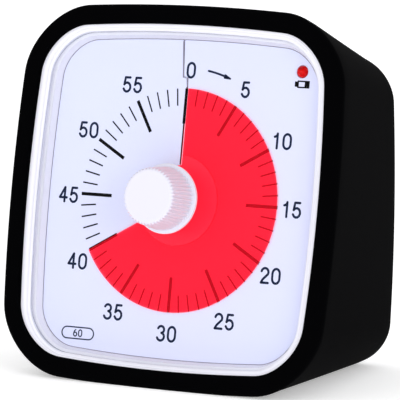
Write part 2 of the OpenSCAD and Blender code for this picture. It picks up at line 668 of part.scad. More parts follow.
module rear_housing() color("#f0f1f3") stand() difference() {
    union() {
        difference() {
            skin(housing_outer);
            skin(housing_inner);
        }
        intersection() {
            union() {
                back_walls();
                for (p = case_screw_places) rod(head_y - 2, past_back_y, tower_d, p.x, p.y);
            }
            skin(housing_outer);
        }
        for (p = case_screw_places) rod(split_y + 0.2 + seat, head_y, thin_tower_d, p.x, p.y);
    }
    back_cuts();
    for (p = case_screw_places) {
        rod(head_y, past_back_y, case_screw_d + 3.2, p.x, p.y);
        rod(split_y - 1, head_y + 1, case_screw_d + 0.2, p.x, p.y);
    }
}
module case_screws() color("#9ea2a8") stand() for (p = case_screw_places) difference() {
    union() {
        rod(head_y + 0.02, head_y + 1.8, case_screw_d + 2.4, p.x, p.y);
        rod(recess_y + 0.6, head_y + 0.5, case_screw_d, p.x, p.y);
    }
    for (a = [0, 90]) translate([p.x, head_y + 1.8, p.y]) rotate([0, a, 0]) cube([3, 1.6, 0.6], center = true);
}

// Battery door: a flush panel on two pins, with a sprung latch tongue at its free edge
tongue_w = 10;
tongue_l = 7;
slot_w = 0.8;
module battery_door() color("#eef0f3") stand() on_back() difference() {
    union() {
        bar(-door_x, door_x, -door_t, 0, hinge_z, door_high);
        hinge_rod(hinge_r, door_x);
        hinge_rod(door_pin_d / 2, door_x + pin_l);
    }
    for (x = [-tongue_w / 2 - slot_w, tongue_w / 2])
        bar(x, x + slot_w, -door_t - 1, 1, door_high - tongue_l, door_high + 1);
    for (k = [0 : 2]) bar(-tongue_w / 2 + 1, tongue_w / 2 - 1, -0.5, 1,
        door_high - 1.8 - 1.4 * k, door_high - 1.2 - 1.4 * k);
}

// Cell, its contacts and its spring
cell_x0 = -26.8;
button_l = 1.6;
cell_x1 = cell_x0 + cell_l;
contact_t = 0.4;
contact_w = 11;
module on_cell() translate([0, -cell_in, -cell_drop]) children();
module across(x0, x1, d) translate([x0, 0, 0]) rotate([0, 90, 0]) cylinder(h = x1 - x0, d = d);
module battery_cell() color("#30343a") stand() on_back() on_cell() {
    across(cell_x0, cell_x0 + button_l + tiny, 5.2);
    across(cell_x0 + button_l, cell_x1, cell_d);
}
module contact(x) bar(x, x + contact_t, -contact_w / 2, contact_w / 2, -contact_w / 2, contact_w / 2);
module positive_contact() color("#d8d9dc") stand() on_back() on_cell() {
    contact(-tub_x + seat);
    across(-tub_x + seat + contact_t - tiny, cell_x0 - seat, 6);
}
module negative_contact() color("#d8d9dc") stand() on_back() on_cell() contact(tub_x - seat - contact_t);

// Contact spring: a conical coil from the plate to the cell, with a straight stub at each end
spring_turns = 4;
spring_big_r = 4.4;
spring_small_r = 1.9;
spring_x1 = tub_x - seat - contact_t - 0.02;
spring_x0 = cell_x1 + seat;
wire_r = spring_wire_d / 2;
rings_per_turn = 12;
coil_x1 = spring_x1 - spring_wire_d;
coil_x0 = spring_x0 + spring_wire_d;
function coil_point(t) = let (a = 360 * spring_turns * t, r = spring_big_r + (spring_small_r - spring_big_r) * t)
    [coil_x1 + (coil_x0 - coil_x1) * t, r * cos(a), r * sin(a)];
coil_path = [for (k = [0 : rings_per_turn * spring_turns]) coil_point(k / (rings_per_turn * spring_turns))];
spring_path = concat([[spring_x1, spring_big_r, 0]], coil_path, [[spring_x0, spring_small_r, 0]]);
function unit(v) = v / norm(v);
function heading(path, i) = unit(path[min(i + 1, len(path) - 1)] - path[max(i - 1, 0)]);
function tube_ring(path, i, r, n) = let (t = i == 0 || i == len(path) - 1 ? [-1, 0, 0] : heading(path, i),
    out = unit([0, path[i].y, path[i].z]), side = unit(cross(t, out)), up = cross(side, t))
    [for (k = [0 : n - 1]) path[i] + r * (cos(360 * k / n) * up + sin(360 * k / n) * side)];
spring_pitch = (coil_x1 - coil_x0) / spring_turns;
spring_step = (spring_big_r - spring_small_r) / spring_turns;
echo(least_spring_gap = norm([spring_pitch, spring_step]) - spring_wire_d);
module contact_spring() color("#c6c8cc") stand() on_back() on_cell()
    skin([for (i = [0 : len(spring_path) - 1]) tube_ring(spring_path, i, wire_r, 6)]);

// Circuit board with the buzzer and the sound switch
module circuit_board() color("#1f6b3a") stand() on_back() plate(-board_in - board_t, -board_in) difference() {
    rounded(-board_half_w, board_half_w, board_low, board_high, 1);
    for (p = board_screw_places) translate(p) circle(d = board_screw_d + 0.3);
}
module board_screws() color("#a9adb3") stand() on_back() for (p = board_screw_places) {
    rod(-board_in - board_t - 1, -board_in - board_t - 0.02, board_screw_d * 2.1, p.x, p.y);
    rod(-board_in - board_t - 0.5, -back_t - 1.5, board_screw_d, p.x, p.y);
}
buzzer_d = 12;
module buzzer() color("#202226") stand() on_back() difference() {
    rod(seat - board_in, -back_t - 0.6, buzzer_d, sound_at.x, sound_at.y);
    rod(-back_t - 1.4, 0, buzzer_d / 5, sound_at.x, sound_at.y);
}
// The switch's lever runs in the body's window; its tip comes up through the back panel
switch_face = 3.4 - board_in;
switch_half = [5, 2.4];
lever_half = [1.2, 1];
shoe_half = [3, 2];
shoe_t = 0.8;
module block(centre, half, y0, y1) bar(centre.x - half.x, centre.x + half.x, y0, y1, centre.y - half.y, centre.y + half.y);
module switch_body() color("#c2c5ca") stand() on_back() difference() {
    block(switch_at, switch_half, seat - board_in, switch_face);
    block(switch_at, lever_half + [switch_travel / 2 + moving_gap, moving_gap], switch_face - 1.5, 0);
}
switch_rest = switch_at - [switch_travel / 2, 0];
module sound_switch() color("#26282c") stand() on_back() {
    block(switch_rest, lever_half, switch_face - 1.2, switch_face + moving_gap + tiny);
    block(switch_rest, shoe_half, switch_face + moving_gap, switch_face + moving_gap + shoe_t);
    block(switch_rest, switch_tip / 2, switch_face + moving_gap + shoe_t - tiny, -0.1);
}

// Indicator light: a domed body through the card, its flange behind it and its two legs
led_tip = 1.2;
module indicator_led() color("#e01010") stand() {
    intersection() {
        union() {
            rod(-led_tip + led_d / 2, card_t + 1 + tiny, led_d, led_x, led_z);
            translate([led_x, -led_tip + led_d / 2, led_z]) sphere(d = led_d);
        }
        rod(-led_tip - 1, card_t + 2, led_d + 1, led_x, led_z);
    }
    rod(card_t + 1 + seat, support_y - 0.2, led_flange_d, led_x, led_z);
    for (s = [-1, 1]) rod(support_y - 0.3, support_y + 3, 0.5, led_x + s * 1.1, led_z);
}

silicone_sleeve();
front_bezel();
lens();
dial_card();
dial_support();
film_disc();
film_hub();
knob();
dial_arbor();
clutch_spring();
arbor_bush();
movement_front_plate();
movement_rear_plate();
movement_screws();
centre_wheel();
third_wheel();
second_wheel();
first_wheel();
rotor();
stator();
coil();
rear_housing();
case_screws();
battery_door();
battery_cell();
positive_contact();
negative_contact();
contact_spring();
circuit_board();
board_screws();
buzzer();
switch_body();
sound_switch();
indicator_led();
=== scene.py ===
"""Looks of a visual countdown timer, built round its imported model.

Lengths are in metres, given as millimetres times MM. A shape is worked out in the dial's own
axes: X right, Y into the case, Z up along the dial, from the knob's axis at the dial card's
face. stand() then leans it back with the case.
"""
import json
import math

import bmesh
import bpy
import numpy as np
from mathutils import Matrix, Vector


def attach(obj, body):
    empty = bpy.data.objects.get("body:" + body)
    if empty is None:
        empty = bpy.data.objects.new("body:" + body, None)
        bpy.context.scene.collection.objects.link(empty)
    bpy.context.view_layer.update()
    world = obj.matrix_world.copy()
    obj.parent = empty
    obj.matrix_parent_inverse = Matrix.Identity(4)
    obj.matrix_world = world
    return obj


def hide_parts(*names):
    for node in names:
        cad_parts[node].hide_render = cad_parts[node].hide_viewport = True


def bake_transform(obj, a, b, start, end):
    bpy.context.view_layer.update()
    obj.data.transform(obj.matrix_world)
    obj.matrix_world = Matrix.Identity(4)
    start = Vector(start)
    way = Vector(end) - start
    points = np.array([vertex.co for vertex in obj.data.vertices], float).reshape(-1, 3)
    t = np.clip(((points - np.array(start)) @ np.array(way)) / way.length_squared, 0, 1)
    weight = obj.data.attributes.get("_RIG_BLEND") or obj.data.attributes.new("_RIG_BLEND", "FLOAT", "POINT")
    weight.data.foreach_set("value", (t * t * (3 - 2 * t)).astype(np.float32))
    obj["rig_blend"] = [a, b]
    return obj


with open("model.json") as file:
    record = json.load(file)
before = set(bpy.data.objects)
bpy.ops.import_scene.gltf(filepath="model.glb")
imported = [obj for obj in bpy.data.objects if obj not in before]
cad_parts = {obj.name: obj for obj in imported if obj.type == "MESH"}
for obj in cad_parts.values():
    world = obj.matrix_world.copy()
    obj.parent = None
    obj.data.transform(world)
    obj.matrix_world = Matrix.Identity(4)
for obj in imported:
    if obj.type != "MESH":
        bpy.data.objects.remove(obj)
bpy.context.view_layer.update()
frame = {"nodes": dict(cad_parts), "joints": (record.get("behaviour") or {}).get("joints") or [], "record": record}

bl_info = {
    "name": "Visual Countdown Timer",
    "version": (1, 0, 0),
    "blender": (4, 5, 0),
    "location": "View3D > Sidebar > Timer",
    "description": "Builds the finished pieces of a desk countdown timer",
    "category": "Add Mesh",
}

MM = 0.001
JOINTS = {joint["name"]: joint for joint in frame["joints"]}
# The dial's axes in the standing timer, from the joint that the knob turns on
DIAL_AT = np.array(JOINTS["dial_turn"]["pos_m"])
DIAL_IN = np.array(JOINTS["dial_turn"]["axis"])
DIAL_RIGHT = np.array([1.0, 0.0, 0.0])
DIAL_UP = np.cross(DIAL_RIGHT, DIAL_IN)
LEAN = math.asin(-DIAL_IN[2])
FULL_TURN = 2 * math.pi
REST_ANGLE = math.radians(240)      # 40 of the 60 minutes show at rest
SLIT_X = -0.2 * MM                  # middle of the slit that the film feeds through
LIGHT_AT = np.array((31.6, 33.6)) * MM
LIGHT_BACK = -3.3 * MM              # the light's back, as a height in front of the card
REAR_JOIN = 9 * MM                  # depth at which the bezel's skirt meets the rear housing
FIT_GAP = 0.1 * MM                  # gap between pieces that fit together
SPECULAR = "Specular IOR Level"
WAVE_REPEATS = 20                   # the wave texture's sine runs this many radians per unit of scale


# ---------------------------------------------------------------- sizes and colours

def linear(code):
    """An sRGB hex colour as linear red, green, blue and an alpha of 1."""
    parts = [int(code[i:i + 2], 16) / 255 for i in (1, 3, 5)]
    return [p / 12.92 if p <= 0.04045 else ((p + 0.055) / 1.055) ** 2.4 for p in parts] + [1.0]


def length(name, text, millimetres):
    """A length property with its default in millimetres."""
    return bpy.props.FloatProperty(
        name=name, description=text, default=millimetres * MM, unit="LENGTH", precision=5)


def colour(name, text, code):
    """A colour property with its default as an sRGB hex code."""
    return bpy.props.FloatVectorProperty(
        name=name, description=text, default=linear(code), size=4, min=0, max=1, subtype="COLOR")


class TimerCaseSizes(bpy.types.PropertyGroup):
    """Sizes of the case and its silicone sleeve."""
    front_w: length("Front width", "Width of the sleeve at its front edge", 93.4)
    front_h: length("Front height", "Height of the sleeve at its front edge", 96.4)
    back_w: length("Back width", "Width of the sleeve at its back", 71.4)
    back_h: length("Back height", "Height of the sleeve at its back", 79.4)
    depth: length("Depth", "Depth of the sleeve along the dial's axis", 58)
    front_r: length("Front corners", "Corner radius at the front", 16.6)
    back_r: length("Back corners", "Corner radius at the back", 10.3)
    front_bow: length("Front bow", "How far each side bows out at the front", 2.3)
    back_bow: length("Back bow", "How far each side bows out at the back", 1.3)
    rise: length("Rise", "Height of the case's middle above the knob's axis", 0.45)
    wall: length("Sleeve wall", "Thickness of the silicone on the sides", 2)
    lip_t: length("Lip thickness", "Thickness of the silicone lips", 1.2)
    front_lip: length("Front lip", "Width of the front lip", 5.05)
    back_lip: length("Back lip", "Width of the lip round the back panel", 5)
    front_edge: length("Front edge", "Radius of the sleeve's front edge", 2.2)
    back_edge: length("Back edge", "Radius of the sleeve's back edge", 2.6)
    case_wall: length("Case wall", "Wall of the plastic case", 1.8)


class TimerDialSizes(bpy.types.PropertyGroup):
    """Sizes of the dial window, its print and its film."""
    below_front: length("Dial depth", "Depth of the dial card below the sleeve's front", 5.6)
    window_w: length("Window width", "Width of the dial window", 75.2)
    window_h: length("Window height", "Height of the dial window", 80.0)
    window_r: length("Window corners", "Corner radius of the dial window", 9)
    window_bow: length("Window bow", "How far the window's sides bow out", 1.9)
    window_rise: length("Window rise", "Height of the window's middle above the knob's axis", 0.25)
    disc_r: length("Disc radius", "Radius of the film disc and of the ring of ticks", 28)
    long_tick: length("Long tick", "Length of a five-minute tick", 8.8)
    short_tick: length("Short tick", "Length of a one-minute tick", 4.3)
    numeral_h: length("Numeral height", "Height of the numerals", 4.2)
    numeral_stroke: length("Numeral stroke", "Width of a numeral's line", 0.6)
    crown: length("Lens crown", "Height of the lens's crown above the card", 4.7)
    dome_r: length("Lens dome", "Radius of the lens's shallow dome", 900)
    lens_t: length("Lens thickness", "Thickness of the clear lens", 1.2)


class TimerKnobSizes(bpy.types.PropertyGroup):
    """Sizes of the fluted knob."""
    reach: length("Reach", "Distance from the card to the knob's front", 15.2)
    flange_r: length("Flange radius", "Radius of the flange", 8.75)
    flange_t: length("Flange thickness", "Thickness of the flange", 1.1)
    back_r: length("Grip radius at the flange", "Radius of the grip where it leaves the flange", 8.0)
    front_r: length("Grip radius at the front", "Radius of the grip at its front", 7.2)
    neck_r: length("Neck radius", "Radius of the neck through the lens", 4.5)
    flute_depth: length("Flute depth", "Depth of a flute in the grip", 0.48)
    flutes: bpy.props.IntProperty(
        name="Flutes", description="Number of flutes round the grip", default=48, min=12)


class TimerColours(bpy.types.PropertyGroup):
    """Colours of the pieces that show."""
    silicone: colour("Silicone", "Colour of the sleeve", "#020203")
    casing: colour("Casing", "Colour of the moulded case", "#ECECF5")
    card: colour("Card", "Colour of the dial card", "#DDE1FB")
    numerals: colour("Numerals", "Colour of the numerals", "#17233F")
    ticks: colour("Ticks", "Colour of the ticks", "#010102")
    # The film's colour also sets the colour of its painted glow
    film: colour("Film", "Colour of the film by reflected light", "#FF1C34")
    knob: colour("Knob", "Colour of the knob", "#DEDDEB")
    light: colour("Indicator light", "Colour of the indicator light", "#C20402")
    floor: colour("Floor", "Colour of the floor and the background", "#FCFCFD")


class TimerCameraSizes(bpy.types.PropertyGroup):
    """The photograph's viewpoint, in the dial's own axes."""
    yaw: bpy.props.FloatProperty(
        name="Yaw", description="Angle of the view to the right of the dial's axis",
        default=0.505783, subtype="ANGLE")
    pitch: bpy.props.FloatProperty(
        name="Pitch", description="Angle of the view above the dial's axis",
        default=-0.030098, subtype="ANGLE")
    roll: bpy.props.FloatProperty(
        name="Roll", description="Turn of the camera about its own line of sight",
        default=0.088697, subtype="ANGLE")
    distance: length("Distance", "Distance from the knob's axis to the camera", 830.62)
    shift_right: length("Aim right", "Aim point to the right of the knob's axis", 5.470)
    shift_up: length("Aim up", "Aim point above the knob's axis", 0.107)
    focal: bpy.props.FloatProperty(
        name="Focal length", description="Focal length on a 36 mm sensor, in millimetres", default=300.38)


# ---------------------------------------------------------------- meshes

def stand(points):
    """Points in the dial's own axes, leaned back and lifted into the standing timer."""
    p = np.asarray(points, float)
    return DIAL_AT + p[..., 0:1] * DIAL_RIGHT + p[..., 1:2] * DIAL_IN + p[..., 2:3] * DIAL_UP


def grid_faces(rows, columns, wrap_rows, wrap_columns):
    """The quads of a grid of points, row by row, with either direction closed on itself."""
    i = np.arange(rows if wrap_rows else rows - 1)[:, None]
    j = np.arange(columns if wrap_columns else columns - 1)[None, :]
    i2, j2 = (i + 1) % rows, (j + 1) % columns
    corners = np.broadcast_arrays(i * columns + j, i * columns + j2, i2 * columns + j2, i2 * columns + j)
    return np.stack(corners, -1).reshape(-1, 4)


def new_piece(name, points, faces, finish, sharp=40):
    """A finished mesh object: doubles merged, faces outwards, shaded smooth up to an angle in degrees."""
    mesh = bpy.data.meshes.new(name)
    mesh.from_pydata(np.asarray(points).reshape(-1, 3).tolist(), [], np.asarray(faces).tolist())
    work = bmesh.new()
    work.from_mesh(mesh)
    bmesh.ops.remove_doubles(work, verts=work.verts, dist=1e-6)
    bmesh.ops.recalc_face_normals(work, faces=work.faces)
    work.to_mesh(mesh)
    work.free()
    mesh.shade_smooth()
    mesh.set_sharp_from_angle(angle=math.radians(sharp))
    piece = bpy.data.objects.new(name, mesh)
    bpy.context.scene.collection.objects.link(piece)
    mesh.materials.append(finish)
    return piece


def arc(centre, radius, start, end, steps):
    """Points of a circle's arc in a profile, from one angle in degrees to another."""
    a = np.radians(np.linspace(start, end, steps + 1))
    return np.stack([centre[0] + radius * np.cos(a), centre[1] + radius * np.sin(a)], -1)


def outline(half_w, half_h, r, bow, corner_steps=20, side_steps=28):
    """A rounded rectangle in X and Z whose sides bow out.

    Corner arcs and straight sides are laid out first, smaller by the bow. Each point is then
    pushed outwards by the bow times the fourth power of how near it lies to that side, times
    one less the square of how far along the side it lies.
    """
    w, h = half_w - bow, half_h - bow
    corners = [(w - r, h - r), (r - w, h - r), (r - w, r - h), (w - r, r - h)]
    arcs = [arc(c, r, 90 * q, 90 * q + 90, corner_steps) for q, c in enumerate(corners)]
    t = (np.arange(1, side_steps) / side_steps)[:, None]
    parts = [part for q in range(4) for part in (arcs[q], arcs[q][-1] * (1 - t) + arcs[(q + 1) % 4][0] * t)]
    p = np.concatenate(parts)
    x = p[:, 0] + np.sign(p[:, 0]) * bow * (np.abs(p[:, 0]) / w) ** 4 * (1 - (p[:, 1] / half_h) ** 2)
    z = p[:, 1] + np.sign(p[:, 1]) * bow * (np.abs(p[:, 1]) / h) ** 4 * (1 - (p[:, 0] / half_w) ** 2)
    return np.stack([x, z], -1)


class CaseShape:
    """The tapering case: its outline at any depth, from the front edge to the upright back panel."""

    def __init__(self, case, dial):
        """Keep the sizes, and work out the depths and how high the back stands."""
        self.case = case
        self.dial = dial
        self.front_y = -dial.below_front
        self.back_y = self.front_y + case.depth
        self.panel_y = self.back_y - case.lip_t - FIT_GAP
        foot = -case.front_h / 2 + case.rise
        tilt = math.tan(LEAN)
        self.back_rise = (foot + case.depth * tilt) / (1 + tilt ** 2) + case.back_h / 2

    def ring(self, inset, y, share=None):
        """The case's outline, inset, at depth y; it slants by its share of the upright back's slope."""
        case = self.case
        t = (y - self.front_y) / (self.panel_y - self.front_y)
        mix = lambda front, back: front + (back - front) * t
        p = outline(mix(case.front_w, case.back_w) / 2 - inset, mix(case.front_h, case.back_h) / 2 - inset,
                    mix(case.front_r, case.back_r) - inset, mix(case.front_bow, case.back_bow))
        z = p[:, 1] + mix(case.rise, self.back_rise)
        slant = t if share is None else share
        return np.stack([p[:, 0], y - slant * z * math.tan(LEAN), z], -1)

    def window(self, outset, y):
        """The dial window's outline, outset, in the plane at depth y."""
        dial = self.dial
        p = outline(dial.window_w / 2 + outset, dial.window_h / 2 + outset, dial.window_r + outset,
                    dial.window_bow)
        return np.stack([p[:, 0], np.full(len(p), y), p[:, 1] + dial.window_rise], -1)


def shape():
    """The case's shape from the scene's settings."""
    return CaseShape(bpy.context.scene.timer_case, bpy.context.scene.timer_dial)


def lofted(name, rings, finish, sharp=40):
    """A closed skin over rings, the last of which meets the first."""
    rings = np.array(rings)
    faces = grid_faces(len(rings), rings.shape[1], True, True)
    return new_piece(name, stand(rings), faces, finish, sharp)


# ---------------------------------------------------------------- materials

def node(tree, kind, settings=(), links=()):
    """One shader node, with its settings (property or input) and the sockets that feed it."""
    made = tree.nodes.new(kind)
    for key, value in dict(settings).items():
        if isinstance(key, str) and hasattr(made, key):
            setattr(made, key, value)
        else:
            made.inputs[key].default_value = value
    for key, socket in dict(links).items():
        tree.links.new(socket, made.inputs[key])
    return made


def blank(name):
    """An empty node material, its tree and its output."""
    material = bpy.data.materials.new(name)
    material.use_nodes = True
    material.node_tree.nodes.clear()
    return material, material.node_tree, node(material.node_tree, "ShaderNodeOutputMaterial")


def finish(name, base, roughness, metallic=0.0, ior=1.5, spread=0.06, grain_mm=0.4, bump=0.05, mottle=0.04,
           patch_mm=18, **more):
    """A solid finish: the colour drifts a little in patches, and a fine grain roughens the surface.

    grain_mm is the real size of the grain; it drives the roughness and the bump. patch_mm is that
    of the patches. more sets other sockets of the Principled shader.
    """
    material, tree, out = blank(name)
    place = node(tree, "ShaderNodeTexCoord")
    grain = node(tree, "ShaderNodeTexNoise", {"Scale": 1 / (grain_mm * MM), "Detail": 3.0, "Roughness": 0.6},
                 {"Vector": place.outputs["Object"]})
    patches = node(tree, "ShaderNodeTexNoise", {"Scale": 1 / (patch_mm * MM), "Detail": 2.0},
                   {"Vector": place.outputs["Object"]})
    shade = node(tree, "ShaderNodeMapRange", {"To Min": 1 - mottle, "To Max": 1 + mottle},
                 {"Value": patches.outputs["Fac"]})
    tint = node(tree, "ShaderNodeMix", {"data_type": "RGBA", "blend_type": "MULTIPLY", 0: 1.0, 6: base},
                {7: shade.outputs["Result"]})
    rough = node(tree, "ShaderNodeMapRange", {"To Min": roughness - spread, "To Max": roughness + spread},
                 {"Value": grain.outputs["Fac"]})
    relief = node(tree, "ShaderNodeBump", {"Strength": bump, "Distance": grain_mm * MM * 0.3},
                  {"Height": grain.outputs["Fac"]})
    skin = node(tree, "ShaderNodeBsdfPrincipled", {"Metallic": metallic, "IOR": ior, **more},
                {"Base Color": tint.outputs[2], "Roughness": rough.outputs["Result"],
                 "Normal": relief.outputs["Normal"]})
    tree.links.new(skin.outputs[0], out.inputs["Surface"])
    return material


def turned(name, base, roughness, ring_mm=0.12):
    """Metal turned on a lathe: how rough it looks varies in rings about the dial's axis.

    The rings are 2 pi times ring_mm apart.
    """
    material, tree, out = blank(name)
    place = node(tree, "ShaderNodeTexCoord")
    # The Mapping node turns the dial's axis to Z, which the rings go round
    mapped = node(tree, "ShaderNodeMapping", {"Rotation": (math.pi / 2 + LEAN, 0, 0)},
                  {"Vector": place.outputs["Object"]})
    rings = node(tree, "ShaderNodeTexWave",
                 {"wave_type": "RINGS", "rings_direction": "Z", "Scale": 1 / (ring_mm * MM * WAVE_REPEATS),
                  "Distortion": 0.6, "Detail": 2.0}, {"Vector": mapped.outputs["Vector"]})
    rough = node(tree, "ShaderNodeMapRange", {"To Min": roughness - 0.08, "To Max": roughness + 0.1},
                 {"Value": rings.outputs["Fac"]})
    relief = node(tree, "ShaderNodeBump", {"Strength": 0.08, "Distance": 0.01 * MM},
                  {"Height": rings.outputs["Fac"]})
    skin = node(tree, "ShaderNodeBsdfPrincipled", {"Base Color": base, "Metallic": 1.0},
                {"Roughness": rough.outputs["Result"], "Normal": relief.outputs["Normal"]})
    tree.links.new(skin.outputs[0], out.inputs["Surface"])
    return material


def striped(name, base, dark, stripe_mm, direction, roughness, metallic):
    """Even stripes along one axis, 2 pi times stripe_mm apart, such as the turns of a winding."""
    material, tree, out = blank(name)
    place = node(tree, "ShaderNodeTexCoord")
    wave = node(tree, "ShaderNodeTexWave",
                {"bands_direction": direction, "Scale": 1 / (stripe_mm * MM * WAVE_REPEATS)},
                {"Vector": place.outputs["Object"]})
    tint = node(tree, "ShaderNodeMix", {"data_type": "RGBA", 6: dark, 7: base}, {0: wave.outputs["Fac"]})
    relief = node(tree, "ShaderNodeBump", {"Strength": 0.5, "Distance": stripe_mm * MM * 0.3},
                  {"Height": wave.outputs["Fac"]})
    skin = node(tree, "ShaderNodeBsdfPrincipled", {"Metallic": metallic, "Roughness": roughness},
                {"Base Color": tint.outputs[2], "Normal": relief.outputs["Normal"]})
    tree.links.new(skin.outputs[0], out.inputs["Surface"])
    return material


def clear_plastic(name):
    """Polished clear styrene: nearly all light goes straight through, and its gloss grows at a slant."""
    material, tree, out = blank(name)
    facing = node(tree, "ShaderNodeFresnel", {"IOR": 1.07})
    through = node(tree, "ShaderNodeBsdfTransparent", {"Color": (0.995, 0.997, 1.0, 1.0)})
    gloss = node(tree, "ShaderNodeBsdfPrincipled",
                 {"Base Color": linear("#C9CCD8"), "Roughness": 0.14, "IOR": 1.59, SPECULAR: 0.6})
    mixed = node(tree, "ShaderNodeMixShader", (),
                 {0: facing.outputs[0], 1: through.outputs[0], 2: gloss.outputs[0]})
    tree.links.new(mixed.outputs[0], out.inputs["Surface"])
    return material


def dyed_film(name, base):
    """Dyed polyester film: it scatters red light back, and lets the print behind it show through. It also glows
    with painted light of its own red, so that the knob's shadow on it washes out.

    Its middle is backed where it is bonded to the hub. The length of the cross product with the
    dial's axis is the distance from that axis, which parts the backed middle from the clear film.
    """
    material, tree, out = blank(name)
    place = node(tree, "ShaderNodeTexCoord")
    haze = node(tree, "ShaderNodeTexNoise", {"Scale": 1 / (6 * MM)}, {"Vector": place.outputs["Object"]})
    rough = node(tree, "ShaderNodeMapRange", {"To Min": 0.32, "To Max": 0.42}, {"Value": haze.outputs["Fac"]})
    through = node(tree, "ShaderNodeBsdfTransparent", {"Color": (1.0, 0.42, 0.49, 1.0)})
    # Painted glow: the film gives off light of its own red, which keeps its red saturated and washes out the
    # knob's shadow
    skin = node(tree, "ShaderNodeBsdfPrincipled",
                {"Base Color": base, "IOR": 1.45, SPECULAR: 0.15, "Emission Color": base,
                 "Emission Strength": 1.75}, {"Roughness": rough.outputs["Result"]})
    film = node(tree, "ShaderNodeMixShader", {0: 0.1}, {1: through.outputs[0], 2: skin.outputs[0]})
    # Painted glow on the backed middle too, weaker: it keeps the middle bright red in the knob's shadow
    backed = node(tree, "ShaderNodeBsdfPrincipled",
                  {"Base Color": (1.0, 0.0105, 0.03, 1.0), "IOR": 1.45, SPECULAR: 0.12,
                   "Emission Color": (1.0, 0.018, 0.043, 1.0), "Emission Strength": 0.6},
                  {"Roughness": rough.outputs["Result"]})
    from_axis = node(tree, "ShaderNodeVectorMath", {"operation": "SUBTRACT", 1: DIAL_AT.tolist()},
                     {0: place.outputs["Object"]})
    across = node(tree, "ShaderNodeVectorMath", {"operation": "CROSS_PRODUCT", 1: DIAL_IN.tolist()},
                  {0: from_axis.outputs["Vector"]})
    distance = node(tree, "ShaderNodeVectorMath", {"operation": "LENGTH"}, {0: across.outputs["Vector"]})
    backed_r, blend = 11.2 * MM, 0.2 * MM
    share = node(tree, "ShaderNodeMapRange", {"From Min": backed_r, "From Max": backed_r + blend},
                 {"Value": distance.outputs["Value"]})
    mixed = node(tree, "ShaderNodeMixShader", (),
                 {0: share.outputs["Result"], 1: backed.outputs[0], 2: film.outputs[0]})
    tree.links.new(mixed.outputs[0], out.inputs["Surface"])
    return material


def solder_mask(name):
    """Glass-fibre board under green solder mask: straight tracks show as slightly paler, raised bands."""
    material, tree, out = blank(name)
    place = node(tree, "ShaderNodeTexCoord")
    tracks = node(tree, "ShaderNodeTexBrick",
                  {"Scale": 1 / (9 * MM), "Mortar Size": 0.06, "Color1": linear("#1B6437"),
                   "Color2": linear("#1F6B3C"), "Mortar": linear("#2F8A50")},
                  {"Vector": place.outputs["Object"]})
    relief = node(tree, "ShaderNodeBump", {"Strength": 0.3, "Distance": 0.05 * MM},
                  {"Height": tracks.outputs["Fac"]})
    skin = node(tree, "ShaderNodeBsdfPrincipled", {"Roughness": 0.3},
                {"Base Color": tracks.outputs["Color"], "Normal": relief.outputs["Normal"]})
    tree.links.new(skin.outputs[0], out.inputs["Surface"])
    return material


FINISHES = {}


